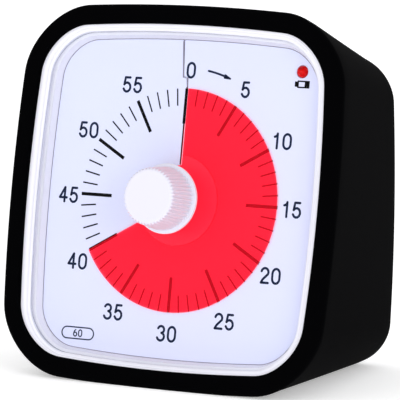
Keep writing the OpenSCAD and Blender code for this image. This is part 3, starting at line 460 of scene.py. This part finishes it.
def finishes():
    """Every finish of the timer, made once and kept by its material slot or its print's ink."""
    if FINISHES:
        return FINISHES
    c = bpy.context.scene.timer_colours
    FINISHES.update({
        # Matt moulded silicone: very dark, with a soft, wide sheen and a fine spark-eroded grain
        "silicone": finish("silicone_moulded_matt", c.silicone, 0.85, ior=1.12, grain_mm=0.35, bump=0.12,
                           **{SPECULAR: 0.18}),
        # Satin moulded ABS: nearly smooth, with soft highlights
        "white_abs": finish("abs_moulded_satin", c.casing, 0.42, ior=1.53, grain_mm=0.5, bump=0.03,
                            mottle=0.01, **{SPECULAR: 0.25}),
        # Polished clear styrene: seen mostly by its highlights at a slant
        "clear_plastic": clear_plastic("styrene_polished_clear"),
        # Coated card: flat and even, with hardly any gloss
        "printed_card": finish("card_printed_satin", c.card, 0.62, ior=1.45, grain_mm=0.25, bump=0.03,
                               mottle=0.008, spread=0.03, **{SPECULAR: 0.2}),
        # Screen-printed inks: dense and dull, dark blue for the numerals and black for the ticks; the black also
        # paints the slot's shade on the card over the slit
        "numeral_ink": finish("ink_navy_screen_printed", c.numerals, 0.55, grain_mm=0.2, bump=0.02,
                              **{SPECULAR: 0.08}),
        "black_ink_and_slit_shade": finish("ink_black_and_painted_slit_shade", c.ticks, 0.55, grain_mm=0.2, bump=0.02,
                           **{SPECULAR: 0.08}),
        # Painted shade: grey lines laid on the card's face along the slit's edges and round its rim, for the shade
        # in the slot and in the gap at the bezel
        "painted_edge_shade": finish("card_painted_edge_shade", linear("#8B8698"), 0.7, grain_mm=0.2, bump=0.02,
                            **{SPECULAR: 0.08}),
        # Dyed polyester film: a saturated red that the ticks show through, kept even by a painted glow
        "red_film": dyed_film("polyester_dyed_red", c.film),
        # The knob's moulded ABS: a shade darker than the case's, with the same soft highlights
        "white_knob": finish("abs_moulded_knob", c.knob, 0.42, ior=1.53, grain_mm=0.4, bump=0.03,
                             mottle=0.01),
        # Turned steel and brass: bright, with streaked highlights from the tool's rings
        "steel": turned("steel_turned_bright", linear("#B9BCC2"), 0.26),
        "brass": turned("brass_turned_bright", linear("#D2A94A"), 0.28),
        # Moulded acetal: slightly waxy, grey for the plates and its natural ivory for the wheels
        "movement_plastic": finish("acetal_moulded_grey", linear("#D9DADD"), 0.45, ior=1.48, grain_mm=0.6),
        "gear_plastic": finish("acetal_moulded_natural", linear("#EFEADE"), 0.4, ior=1.48, grain_mm=0.5),
        # Sintered ferrite: dark, dull and slightly granular
        "rotor_magnet": finish("ferrite_sintered", linear("#4A4D52"), 0.6, metallic=0.3, grain_mm=0.15,
                               bump=0.3),
        # Stamped iron: grey metal with the dull grain of rolled sheet
        "soft_iron": finish("iron_stamped", linear("#8D9299"), 0.42, metallic=1.0, grain_mm=0.25, bump=0.1),
        # Enamelled copper winding: glossy turns side by side, drawn far coarser than the real wire, to show
        "copper_wire": striped("copper_enamelled_winding", linear("#C0662F"), linear("#6E3315"), 0.25, "X",
                               0.3, 0.9),
        # Plain shrink wrap on the cell: copper-coloured, and a little darker towards its ends
        "cell_wrap": striped("wrap_shrunk_two_tone", linear("#2B2F35"), linear("#A8623A"), 48.0, "X",
                             0.3, 0.2),
        # Nickel-plated spring steel: smooth and mirror-bright
        "nickel_plate": finish("nickel_plated_spring_steel", linear("#D8D9DC"), 0.2, metallic=1.0,
                               grain_mm=0.3, bump=0.02),
        # Green solder mask over glass fibre: glossy, with the tracks raised and paler
        "circuit_laminate": solder_mask("board_green_solder_mask"),
        # Moulded black nylon: dark grey where the light catches its fine grain
        "black_plastic": finish("nylon_moulded_black", linear("#202226"), 0.5, grain_mm=0.4),
        # Diffused red epoxy: glossy, glowing a little from within; its colour is patched in small spots from dark
        # to bright red, which paints highlights as well as the epoxy's clouding
        "red_led": finish("epoxy_cast_red", c.light, 0.2, ior=1.55, grain_mm=0.9, bump=0.6, mottle=0.9,
                          patch_mm=0.9, **{SPECULAR: 0.12, "Emission Color": linear("#D00404"),
                                           "Emission Strength": 0.15}),
    })
    return FINISHES


# ---------------------------------------------------------------- case

class TIMER_OT_sleeve(bpy.types.Operator):
    """Add the silicone sleeve with its rounded edges and its lips"""
    bl_idname = "timer.sleeve"
    bl_label = "Sleeve"

    def execute(self, context):
        """A section carried round the case. Each of its points is an inset and a depth, with the
        share of the upright back's slope that its ring takes."""
        case, s = context.scene.timer_case, shape()
        front, back, t = s.front_y, s.back_y, case.lip_t
        lip_r, inner_r = 0.4 * MM, 0.8 * MM
        edge = arc((case.front_edge, front + case.front_edge), case.front_edge, 270, 180, 12)
        rear = arc((case.back_edge, back - case.back_edge), case.back_edge, 180, 90, 12)
        lip = arc((case.front_lip - lip_r, front + lip_r), lip_r, 360, 270, 4)
        rear_lip = arc((case.back_lip - lip_r, back - lip_r), lip_r, 90, 0, 4)
        rings = [s.ring(case.front_lip, front + t, 0)]
        rings += [s.ring(d, y, 0) for d, y in np.concatenate([lip, edge])]
        flank = np.linspace(front + case.front_edge, back - case.back_edge, 14)[1:-1]
        # On the flank the slope's share grows from none at the front to all of it at the back
        rings += [s.ring(0, y, (y - flank[0]) / (flank[-1] - flank[0])) for y in flank]
        rings += [s.ring(d, y, 1) for d, y in np.concatenate([rear, rear_lip])]
        rings += [s.ring(case.back_lip, back - t, 1), s.ring(case.wall + inner_r, back - t, 1),
                  s.ring(case.wall, back - t - inner_r, 1), s.ring(case.wall, (REAR_JOIN + s.panel_y) / 2),
                  s.ring(case.wall, REAR_JOIN), s.ring(case.wall, front + t + inner_r, 0),
                  s.ring(case.wall + inner_r, front + t, 0)]
        sleeve = lofted("sleeve", rings, finishes()["silicone"], 50)
        # The flat foot: what would hang below the desk is pressed up to it
        place = np.empty(len(sleeve.data.vertices) * 3)
        sleeve.data.vertices.foreach_get("co", place)
        place[2::3] = np.maximum(place[2::3], 0)
        sleeve.data.vertices.foreach_set("co", place)
        sleeve.data.update()
        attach(sleeve, "case")
        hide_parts("silicone_sleeve")
        return {"FINISHED"}


class TIMER_OT_bezel(bpy.types.Operator):
    """Add the moulded front frame: its rim, the lens seat, and the slope down to the card"""
    bl_idname = "timer.bezel"
    bl_label = "Bezel"

    def execute(self, context):
        """A section of window and case outlines, from the card up to the rim and round the skirt."""
        case, s = context.scene.timer_case, shape()
        outer, inner = case.wall + FIT_GAP, case.wall + FIT_GAP + case.case_wall
        top = s.front_y + case.lip_t + FIT_GAP
        roll = arc((3 * MM, top + 0.8 * MM), 0.8 * MM, 180, 270, 6)
        rings = [s.window(0, -0.1 * MM), s.window(0.7 * MM, -1.95 * MM), s.window(0.85 * MM, -2 * MM),
                 s.window(1.55 * MM, -2 * MM), s.window(1.55 * MM, -3.4 * MM)]
        rings += [s.window(e, y) for e, y in roll]
        rings += [s.ring(outer + 1.6 * MM, top, 0), s.ring(outer + 0.5 * MM, top + 0.4 * MM, 0),
                  s.ring(outer, top + 1.5 * MM, 0), s.ring(outer, REAR_JOIN), s.ring(inner, REAR_JOIN),
                  s.ring(inner, 1 * MM, 0), s.window(1.3 * MM, 1 * MM), s.window(1.3 * MM, -0.1 * MM)]
        bezel = lofted("bezel", rings, finishes()["white_abs"])
        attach(bezel, "case")
        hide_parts("front_bezel")
        return {"FINISHED"}


class TIMER_OT_lens(bpy.types.Operator):
    """Add the clear lens, a shallow dome with a hole for the knob's neck"""
    bl_idname = "timer.lens"
    bl_label = "Lens"

    def execute(self, context):
        """Rings that shrink from the window's outline to the hole's circle, with the depth from
        the dome: its crown, less the square of the distance from the axis over twice its radius."""
        dial, knob, s = context.scene.timer_dial, context.scene.timer_knob, shape()
        seat = -2.05 * MM
        rim, inner = s.window(1.4 * MM, 0), s.window(0.6 * MM, 0)
        angle = lambda ring: np.arctan2(ring[:, 2], ring[:, 0])
        hole = lambda ring: (knob.neck_r + 0.4 * MM) * np.stack(
            [np.cos(angle(ring)), np.zeros(len(ring)), np.sin(angle(ring))], -1)

        def dome(ring, t, drop):
            """A ring moved a share t of the way to the hole, at the dome's depth plus a drop."""
            p = ring * (1 - t) + hole(ring) * t
            p[:, 1] = drop - dial.crown + (p[:, 0] ** 2 + p[:, 2] ** 2) / (2 * dial.dome_r)
            return p

        at = lambda ring, y: ring * [1, 0, 1] + [0, y, 0]
        # The outer dome keeps a small round on the rim: each step is a shrink in shares and a drop
        edge_y = dome(rim, 0, 0)[:, 1]
        rolled = [rim * [1, 0, 1] * (1 - shrink) + np.multiply.outer(edge_y + drop * MM, [0, 1, 0])
                  for shrink, drop in ((0, 0.4), (0.06 / 38, 0.2), (0.2 / 38, 0.06))]
        rings = [at(inner, seat), at(rim, seat)] + rolled
        steps = np.linspace(0, 1, 12)
        rings += [dome(rim * [0.99, 0, 0.99], t, 0) for t in steps]
        rings += [dome(inner, t, dial.lens_t) for t in steps[::-1]]
        lens = lofted("lens_shell", rings, finishes()["clear_plastic"], 35)
        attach(lens, "case")
        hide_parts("lens")
        return {"FINISHED"}


# ---------------------------------------------------------------- dial

def ribbon(path, width, y, ends):
    """Rows of four points along a flat line of print: its two front edges and its two back edges.

    Each row stands across the path, along the mean of its two neighbours' normals, stretched at
    a bend so that the line keeps its width. A round end is a half circle, made of rows whose
    width falls as the cosine while they step out as the sine.
    """
    p = np.asarray(path, float)
    if ends == "closed":
        ahead, behind = np.roll(p, -1, 0) - p, p - np.roll(p, 1, 0)
    else:
        step = np.diff(p, axis=0)
        ahead, behind = np.concatenate([step, step[-1:]]), np.concatenate([step[:1], step])
    ahead = ahead / np.linalg.norm(ahead, axis=1, keepdims=True)
    behind = behind / np.linalg.norm(behind, axis=1, keepdims=True)
    along = ahead + behind
    along = along / np.linalg.norm(along, axis=1, keepdims=True)
    across = np.stack([-along[:, 1], along[:, 0]], -1)
    half = width / 2 / np.clip((along * ahead).sum(1), 0.5, 1)
    if ends == "round":
        turn = np.radians([80, 60, 40, 20])[:, None]
        caps = [(p[i] + sign * along[i] * width / 2 * np.sin(turn), np.repeat(across[i:i + 1], 4, 0),
                 (width / 2 * np.cos(turn))[:, 0]) for i, sign in ((0, -1), (len(p) - 1, 1))]
        p = np.concatenate([caps[0][0], p, caps[1][0][::-1]])
        across = np.concatenate([caps[0][1], across, caps[1][1]])
        half = np.concatenate([caps[0][2], half, caps[1][2][::-1]])
    left, right = p + across * half[:, None], p - across * half[:, None]
    ink = 0.02 * MM
    rows = [np.stack([side[:, 0], np.full(len(side), depth), side[:, 1]], -1)
            for side, depth in ((left, y - ink), (right, y - ink), (right, y), (left, y))]
    return np.stack(rows, 1)


def printed(name, lines, finish_name, y=-0.02 * MM):
    """One thin piece of print on the card, from lines that are each (points, width, ends)."""
    points, faces, count = [], [], 0
    for path, width, ends in lines:
        rows, closed = ribbon(path, width, y, ends), ends == "closed"
        n = len(rows)
        points.append(rows.reshape(-1, 3))
        faces += (grid_faces(n, 4, closed, True) + count).tolist()
        if not closed:
            faces += [[count + k for k in (0, 1, 2, 3)], [count + 4 * (n - 1) + k for k in (3, 2, 1, 0)]]
        count += 4 * n
    mark = new_piece(name, stand(np.concatenate(points)), faces, finishes()[finish_name], 30)
    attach(mark, "case")
    return mark


def oval(centre, radii, start, end, steps=10):
    """Points of an ellipse's arc, by its angle in degrees."""
    a = np.radians(np.linspace(start, end, steps + 1))
    return np.stack([centre[0] + radii[0] * np.cos(a), centre[1] + radii[1] * np.sin(a)], -1)


DIGIT_H, DIGIT_W = 3.6, 2.0         # a digit's height and width between its lines' middles


def strokes(digit):
    """The centre lines of one round-ended condensed digit, as (points, ends), in units of its own."""
    top, wide, mid = DIGIT_H, DIGIT_W, DIGIT_W / 2
    joined = lambda *parts: np.concatenate([np.asarray(p, float).reshape(-1, 2) for p in parts])
    return {
        "0": [(joined(oval((mid, top - 1.2), (mid, 1.2), 0, 180),
                      oval((mid, 1.2), (mid, 1.2), 180, 360)), "closed")],
        "1": [(joined((0.42, 2.8), oval((0.47, top + 0.1), (0.75, 0.85), -80, -8, 5)), "round"),
              (joined((1.2, top), (1.2, 0)), "round")],
        "2": [(joined(oval((mid, top - 1.0), (0.96, 1.0), 168, -28), (0.55, 0.85), (0.08, 0.05)), "round"),
              (joined((0.08, 0), (wide, 0)), "round")],
        "3": [(oval((mid, top - 0.88), (0.88, 0.88), 160, -75), "round"),
              (oval((mid, 0.98), (mid, 0.98), 80, -162), "round")],
        "4": [(joined((1.4, top), (0, 1.02)), "round"), (joined((0, 1.02), (2.05, 1.02)), "round"),
              (joined((1.42, top), (1.42, 0)), "round")],
        "5": [(joined((1.78, top), (0.42, top)), "round"), (joined((0.42, top), (0.16, 1.8)), "round"),
              (oval((0.96, 1.15), (1.0, 1.15), 145, -158), "round")],
        "6": [(joined(oval((2.1, 1.2), (2.1, 2.6), 116, 180, 8)), "round"),
              (oval((mid, 1.08), (mid, 1.08), 0, 360, 20)[:-1], "closed")],
    }[digit]


def lettered(text, centre, height, width):
    """Lines for a number centred on a point: its digits' strokes at that height, side by side."""
    scale = (height - width) / DIGIT_H
    gap, widths = 0.5 * scale, {"1": 1.85}
    advance = [widths.get(digit, DIGIT_W) * scale + width + gap for digit in text]
    starts = np.cumsum([0] + advance[:-1]) - (sum(advance) - width - gap) / 2
    return [(line * scale + [centre[0] + start, centre[1] - (height - width) / 2], width, ends)
            for digit, start in zip(text, starts) for line, ends in strokes(digit)]


class TIMER_OT_print(bpy.types.Operator):
    """Print the dial: its ticks, numerals, arrow, battery symbol and the label for sixty minutes"""
    bl_idname = "timer.print"
    bl_label = "Dial print"

    def execute(self, context):
        """A tick for minute m lies along the angle 6 m degrees, clockwise from the top."""
        dial = context.scene.timer_dial
        minute = np.arange(60)
        turn = np.radians(6 * minute)
        ray = np.stack([np.sin(turn), np.cos(turn)], -1)
        fifth = minute % 5 == 0
        ticks = self.bars(ray, dial.disc_r - np.where(fifth, dial.long_tick, dial.short_tick), dial.disc_r,
                          np.where(fifth, 0.84, 0.36) * MM, SLIT_X)
        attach(ticks, "case")

        # Painted shade: a dark strip on the card's face over the slit, where the film runs through it, and grey
        # strips along the slit's edges above the film, stand in for the slot's shade
        gap = np.array([(SLIT_X - 0.1 * MM, 9 * MM), (SLIT_X - 0.1 * MM, 28.3 * MM)])
        printed("slit_painted_shade", [(gap, 0.34 * MM, "square")], "black_ink_and_slit_shade", -0.01 * MM)
        path = np.array([(0, 28.45), (-0.1, 30.6), (-1.35, 30.85), (-2.15, 39.6)]) * MM + [SLIT_X, 0]
        printed("slit_edges_painted_shade", [(path[[k, k + 1]], 0.4 * MM, "round") for k in (0, 2)], "painted_edge_shade",
                -0.01 * MM)
        # Painted shade: a thin grey line round the card's rim, for the shade in the gap where the card meets the
        # bezel
        rim = shape().window(-0.1 * MM, 0)[:, [0, 2]]
        printed("card_rim_painted_shade", [(rim, 0.16 * MM, "closed")], "painted_edge_shade", -0.01 * MM)

        # Where each numeral's middle stands, in millimetres: they follow a rounded square
        places = np.array((
            (0.5, 32.6), (16.3, 28.45), (27.6, 16.3), (31.9, -0.3), (27.7, -16.8), (16.0, -29.0),
            (0.0, -33.3), (-15.8, -29.1), (-27.5, -17.1), (-31.8, -0.5), (-27.6, 16.2), (-16.0, 28.2))) * MM
        printed("numerals", [line for k, place in enumerate(places) for line in lettered(
            str(5 * k), place, dial.numeral_h, dial.numeral_stroke)], "numeral_ink")

        sweep = oval((0, 0), (33.1, 33.1), 80.5, 71, 8) * MM
        tip, barbs = (11.75, 30.95), ((10.25, 31.85), (10.05, 31.1), (10.15, 31.5))
        printed("direction_arrow", [(sweep, 0.52 * MM, "round")]
                + [(np.array([barb, tip]) * MM, 0.4 * MM, "round") for barb in barbs], "numeral_ink")

        # The battery symbol beside the light: a nub, an outline round a pale window, and a dark block
        nub, block, outline_lines = [np.array(line) * MM for line in (
            ((29.8, 30.5), (30.85, 30.5)), ((32.6, 30.5), (33.85, 30.5)),
            ((30.7, 29.75), (32.7, 29.75), (32.7, 31.25), (30.7, 31.25)))]
        printed("battery_symbol", [(outline_lines, 0.36 * MM, "closed"), (nub, 1.3 * MM, "square"),
                                   (block, 1.86 * MM, "square")], "black_ink_and_slit_shade")

        # The label: a long round outline that holds the number sixty
        label, half_run, end_r = np.array((-25.5, -35.2)) * MM, 3.2 * MM, 1.45 * MM
        pill = np.concatenate([arc((half_run, 0), end_r, -90, 90, 12),
                               arc((-half_run, 0), end_r, 90, 270, 12)])
        printed("sixty_label", [(pill + label, 0.32 * MM, "closed")]
                + lettered("60", label, 1.95 * MM, 0.3 * MM), "numeral_ink")
        return {"FINISHED"}

    @staticmethod
    def bars(ray, inner, outer, width, slit):
        """Sixty thin bars at once: the eight corners of each, along its ray and across it."""
        side = np.stack([-ray[:, 1], ray[:, 0]], -1) * (width / 2)[:, None]
        near, far = ray * inner[:, None], ray * outer
        plan = np.stack([near - side, near + side, far + side, far - side], 1)
        # The first tick is printed against the left side of the slit, and is narrower by its width
        plan[0, :, 0] = np.where(plan[0, :, 0] > 0, slit + 0.3 * MM, slit - 0.5 * MM)
        corners = np.concatenate([np.insert(plan, 1, y, axis=2) for y in (-0.04 * MM, -0.02 * MM)], 1)
        box = np.array([(0, 1, 2, 3), (7, 6, 5, 4), (0, 4, 5, 1), (1, 5, 6, 2), (2, 6, 7, 3), (3, 7, 4, 0)])
        faces = (box[None] + 8 * np.arange(len(ray))[:, None, None]).reshape(-1, 4)
        return new_piece("ticks", stand(corners), faces, finishes()["black_ink_and_slit_shade"], 30)


class TIMER_OT_light(bpy.types.Operator):
    """Add the indicator light: a round-nosed body with a flange behind the card, and its two legs"""
    bl_idname = "timer.light"
    bl_label = "Indicator light"

    def execute(self, context):
        """A profile of radius and height turned about the light's own axis; each leg is one too."""
        radius, nose, flange_r, leg_r = 1.45 * MM, 1.2 * MM, 1.9 * MM, 0.25 * MM
        body = np.concatenate([[(0, nose)], arc((0, nose - radius), radius, 90, 0, 14)[1:],
                               [(radius, -1.5 * MM), (flange_r, -1.51 * MM), (flange_r, LIGHT_BACK),
                                (0, LIGHT_BACK)]])
        leg = np.array([(0, 0.05 * MM), (leg_r, 0.05 * MM), (leg_r, -3 * MM), (0, -3 * MM)])
        leg += [0, LIGHT_BACK]
        for name, profile, side, steps, made in (("light_body", body, 0, 48, "red_led"),
                                                 ("light_leg_left", leg, -1.1 * MM, 16, "steel"),
                                                 ("light_leg_right", leg, 1.1 * MM, 16, "steel")):
            around = np.linspace(0, FULL_TURN, steps, endpoint=False)
            r, h = profile[:, 0:1], profile[:, 1:2]
            points = np.stack([LIGHT_AT[0] + side + r * np.sin(around), np.broadcast_to(-h, (len(r), steps)),
                               LIGHT_AT[1] + r * np.cos(around)], -1)
            piece = new_piece(name, stand(points), grid_faces(len(r), steps, False, True),
                              finishes()[made])
            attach(piece, "case")
            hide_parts("indicator_led")
        return {"FINISHED"}


class TIMER_OT_film(bpy.types.Operator):
    """Add the red film, which lies on the card for the minutes shown and behind it for the rest"""
    bl_idname = "timer.film"
    bl_label = "Film"

    def execute(self, context):
        """One sheet, from its hidden end round behind the card, through the slit, to its edge in front.

        A point's angle runs from the hidden end at 240 degrees to the slit at 360, and on from
        the slit to 240 degrees in front. Its weight is how much of the knob's turn it takes: it
        falls evenly to none at the slit and grows evenly to all of it at the front edge.
        """
        dial = context.scene.timer_dial
        edge_x, thick = SLIT_X + 0.62 * MM, 0.2 * MM
        radius = np.linspace(5 * MM, dial.disc_r, 13)
        behind, before = np.linspace(0, 1, 61), np.linspace(0, 1, 121)
        # Angle, depth and weight along the sheet; the two rows at the slit join front and back
        angle = np.concatenate([REST_ANGLE + behind * (FULL_TURN - REST_ANGLE),
                                FULL_TURN + before * REST_ANGLE])
        weight = np.concatenate([1 - behind, before])
        depth = np.where(np.arange(len(angle)) < len(behind), 1.0 * MM, -0.4 * MM)
        a, r = np.meshgrid(angle, radius, indexing="ij")
        # The two rows at the slit stand on a line beside it instead of on a ray
        at_slit = np.isclose(a, FULL_TURN)
        x = np.where(at_slit, edge_x, r * np.sin(a))
        x = np.where((a > FULL_TURN) & (a < FULL_TURN + np.pi / 2), np.maximum(x, edge_x), x)
        z = np.where(at_slit, np.sqrt(r ** 2 - edge_x ** 2), r * np.cos(a))
        y = np.repeat(depth[:, None], len(radius), 1)
        middle = np.stack([x, y, z], -1)
        off = np.array([0, thick / 2, 0])
        sheet = np.stack([middle - off, middle + off])
        rows, columns = middle.shape[:2]
        section = np.concatenate([sheet[0], sheet[1][:, ::-1]], 1)
        faces = grid_faces(rows, 2 * columns, False, True)
        ends = np.array([[k, k + 1, 2 * columns - 2 - k, 2 * columns - 1 - k] for k in range(columns - 1)])
        faces = np.concatenate([faces, ends[:, ::-1], ends + (rows - 1) * 2 * columns])
        mesh = bpy.data.meshes.new("film")
        mesh.from_pydata(stand(section).reshape(-1, 3).tolist(), [], faces.tolist())
        mesh.shade_smooth()
        mesh.set_sharp_from_angle(angle=math.radians(40))
        film = bpy.data.objects.new("film", mesh)
        context.scene.collection.objects.link(film)
        mesh.materials.append(finishes()["red_film"])
        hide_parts("film_disc")
        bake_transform(film, "case", "dial", start=tuple(DIAL_AT), end=tuple(DIAL_AT + DIAL_UP * dial.disc_r))
        # bake_transform() works its weights out along a straight line, and this sheet runs round the dial, so
        # its own weights go over them, in the attribute that bake_transform() made
        mesh.attributes["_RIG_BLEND"].data.foreach_set(
            "value", np.repeat(weight, 2 * columns).astype(np.float32))
        return {"FINISHED"}


class TIMER_OT_knob(bpy.types.Operator):
    """Add the knob: its neck, its flange and its fluted grip"""
    bl_idname = "timer.knob"
    bl_label = "Knob"

    def execute(self, context):
        """A profile of radius and height turned about the axis; in the grip the radius falls by the
        flute's depth times a raised cosine of the way from the flute's middle."""
        knob, dial = context.scene.timer_knob, context.scene.timer_dial
        low = dial.crown + 1 * MM
        high = low + knob.flange_t
        flange, edge = knob.flange_r, 0.35 * MM
        taper = np.linspace(0, 1, 8)[:, None]
        front_round = 0.95 * MM
        grip_low, grip_high = high + 0.15 * MM, knob.reach - front_round
        side = np.array([knob.back_r, grip_low]) * (1 - taper) + np.array([knob.front_r, grip_high]) * taper
        profile = np.concatenate([
            [(0, 0.55 * MM), (knob.neck_r, 0.55 * MM), (knob.neck_r, low)],
            arc((flange - edge, low + edge), edge, -90, 0, 5),
            arc((flange - edge, high - edge), edge, 0, 90, 5),
            [(knob.back_r + 0.15 * MM, high)], side,
            arc((knob.front_r - front_round, grip_high), front_round, 8, 90, 10),
            [(knob.front_r * 0.8, knob.reach), (knob.front_r * 0.3, knob.reach), (0, knob.reach)]])
        per_flute = 10
        around = np.linspace(0, FULL_TURN, knob.flutes * per_flute, endpoint=False)
        way = (np.arange(len(around)) % per_flute) / per_flute * 2 - 1
        scallop = (1 + np.cos(np.pi * way)) / 2
        r, h = profile[:, 0:1], profile[:, 1:2]
        # Flutes are full depth along the grip and run out in the front edge's round
        part = np.clip((h - high) / (0.15 * MM), 0, 1) * np.clip((knob.reach - h) / front_round, 0, 1) ** 0.4
        radius = r - knob.flute_depth * part * scallop[None]
        points = np.stack([radius * np.sin(around), np.broadcast_to(-h, radius.shape),
                           radius * np.cos(around)], -1)
        piece = new_piece("fluted_knob", stand(points), grid_faces(*radius.shape, False, True),
                          finishes()["white_knob"], 32)
        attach(piece, "dial")
        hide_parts("knob")
        return {"FINISHED"}


# ---------------------------------------------------------------- carried-over pieces and stage

class TIMER_OT_finishes(bpy.types.Operator):
    """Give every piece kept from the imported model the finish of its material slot"""
    bl_idname = "timer.finishes"
    bl_label = "Finishes"

    def execute(self, context):
        """Each node's material slot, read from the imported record, names its finish."""
        slots = {part["node"]: part["material_slot"] for part in frame["record"]["subparts"]}
        for name, kept in frame["nodes"].items():
            made = finishes()[slots[name]]
            for slot in kept.material_slots:
                slot.material = made
        return {"FINISHED"}


class TIMER_OT_stage(bpy.types.Operator):
    """Add the pale floor, the soft studio light and the camera of the photograph"""
    bl_idname = "timer.stage"
    bl_label = "Stage"

    def execute(self, context):
        """The camera looks along a line at its yaw and pitch to the dial's axis, rolled about it."""
        scene, cam = context.scene, context.scene.timer_camera
        reach = 4.0
        plan = np.array([(-1, -1, 0), (1, -1, 0), (1, 1, 0), (-1, 1, 0)]) * reach
        mesh = bpy.data.meshes.new("floor")
        mesh.from_pydata(plan.tolist(), [], [(0, 1, 2, 3)])
        # Matt white paper, slightly emissive so that it stays white under this soft light
        mesh.materials.append(finish(
            "paper_matt_white", scene.timer_colours.floor, 0.9, mottle=0.005, bump=0.0,
            **{"Emission Color": linear("#FFFFFF"), "Emission Strength": 0.35}))
        floor = bpy.data.objects.new("floor", mesh)
        scene.collection.objects.link(floor)

        world = bpy.data.worlds.new("studio")
        world.use_nodes = True
        sky = world.node_tree.nodes["Background"]
        sky.inputs["Color"].default_value = linear("#FFFFFF")
        sky.inputs["Strength"].default_value = 0.84
        scene.world = world
        scene.view_settings.view_transform = "Standard"

        # Softboxes aimed at the timer's middle: place, width, power in watts
        aim = Vector((0, 0, 0.045))
        for name, place, width, power in (("key", (-0.35, -0.95, 0.35), 0.6, 0.9),
                                          ("fill", (0.8, -0.6, 0.3), 0.4, 1.8),
                                          ("low", (0.1, -1.0, 0.16), 0.3, 0.6)):
            light = bpy.data.lights.new(name, "AREA")
            light.shape, light.size, light.energy = "SQUARE", width, power
            lamp = bpy.data.objects.new(name, light)
            lamp.location = place
            lamp.rotation_euler = (aim - Vector(place)).to_track_quat("-Z", "Y").to_euler()
            scene.collection.objects.link(lamp)

        # From the timer to the camera, then the level and upright directions across that line
        flat = math.cos(cam.pitch)
        back = np.array([math.sin(cam.yaw) * flat, -math.cos(cam.yaw) * flat, math.sin(cam.pitch)])
        level = np.cross((0, 0, 1), back)
        level /= np.linalg.norm(level)
        upright = np.cross(back, level)
        right = math.cos(cam.roll) * level + math.sin(cam.roll) * upright
        up = math.cos(cam.roll) * upright - math.sin(cam.roll) * level
        place = stand(back * cam.distance + right * cam.shift_right + up * cam.shift_up)
        turned_axes = [axis @ np.array([DIAL_RIGHT, DIAL_IN, DIAL_UP]) for axis in (right, up, back)]
        view = bpy.data.cameras.new("photograph")
        view.sensor_width, view.lens, view.clip_start, view.clip_end = 36, cam.focal, 0.05, 20
        camera = bpy.data.objects.new("photograph", view)
        camera.matrix_world = Matrix.Translation(Vector(place)) @ Matrix(
            np.array(turned_axes).T.tolist()).to_4x4()
        scene.collection.objects.link(camera)
        scene.camera = camera
        return {"FINISHED"}


class TIMER_PT_panel(bpy.types.Panel):
    """The timer's sizes, colours and pieces"""
    bl_idname = "TIMER_PT_panel"
    bl_label = "Countdown timer"
    bl_space_type = "VIEW_3D"
    bl_region_type = "UI"
    bl_category = "Timer"

    def draw(self, context):
        """Every setting in its own box, then a button for every piece."""
        for owner in SETTINGS:
            group = getattr(context.scene, owner)
            box = self.layout.box()
            for key in group.__annotations__:
                box.prop(group, key)
        for operator in STEPS:
            self.layout.operator(operator.bl_idname)


SETTINGS = {"timer_case": TimerCaseSizes, "timer_dial": TimerDialSizes, "timer_knob": TimerKnobSizes,
            "timer_colours": TimerColours, "timer_camera": TimerCameraSizes}
STEPS = (TIMER_OT_stage, TIMER_OT_finishes, TIMER_OT_sleeve, TIMER_OT_bezel, TIMER_OT_lens, TIMER_OT_print,
         TIMER_OT_light, TIMER_OT_film, TIMER_OT_knob)


def register():
    """Register the settings, the operators and the panel."""
    for owner, group in SETTINGS.items():
        bpy.utils.register_class(group)
        setattr(bpy.types.Scene, owner, bpy.props.PointerProperty(type=group))
    for operator in (*STEPS, TIMER_PT_panel):
        bpy.utils.register_class(operator)


def unregister():
    """Take back what register() did."""
    for operator in (TIMER_PT_panel, *reversed(STEPS)):
        bpy.utils.unregister_class(operator)
    for owner, group in SETTINGS.items():
        delattr(bpy.types.Scene, owner)
        bpy.utils.unregister_class(group)


def main():
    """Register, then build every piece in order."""
    register()
    for operator in STEPS:
        group, name = operator.bl_idname.split(".")
        getattr(getattr(bpy.ops, group), name)()


if __name__ == "__main__":
    main()
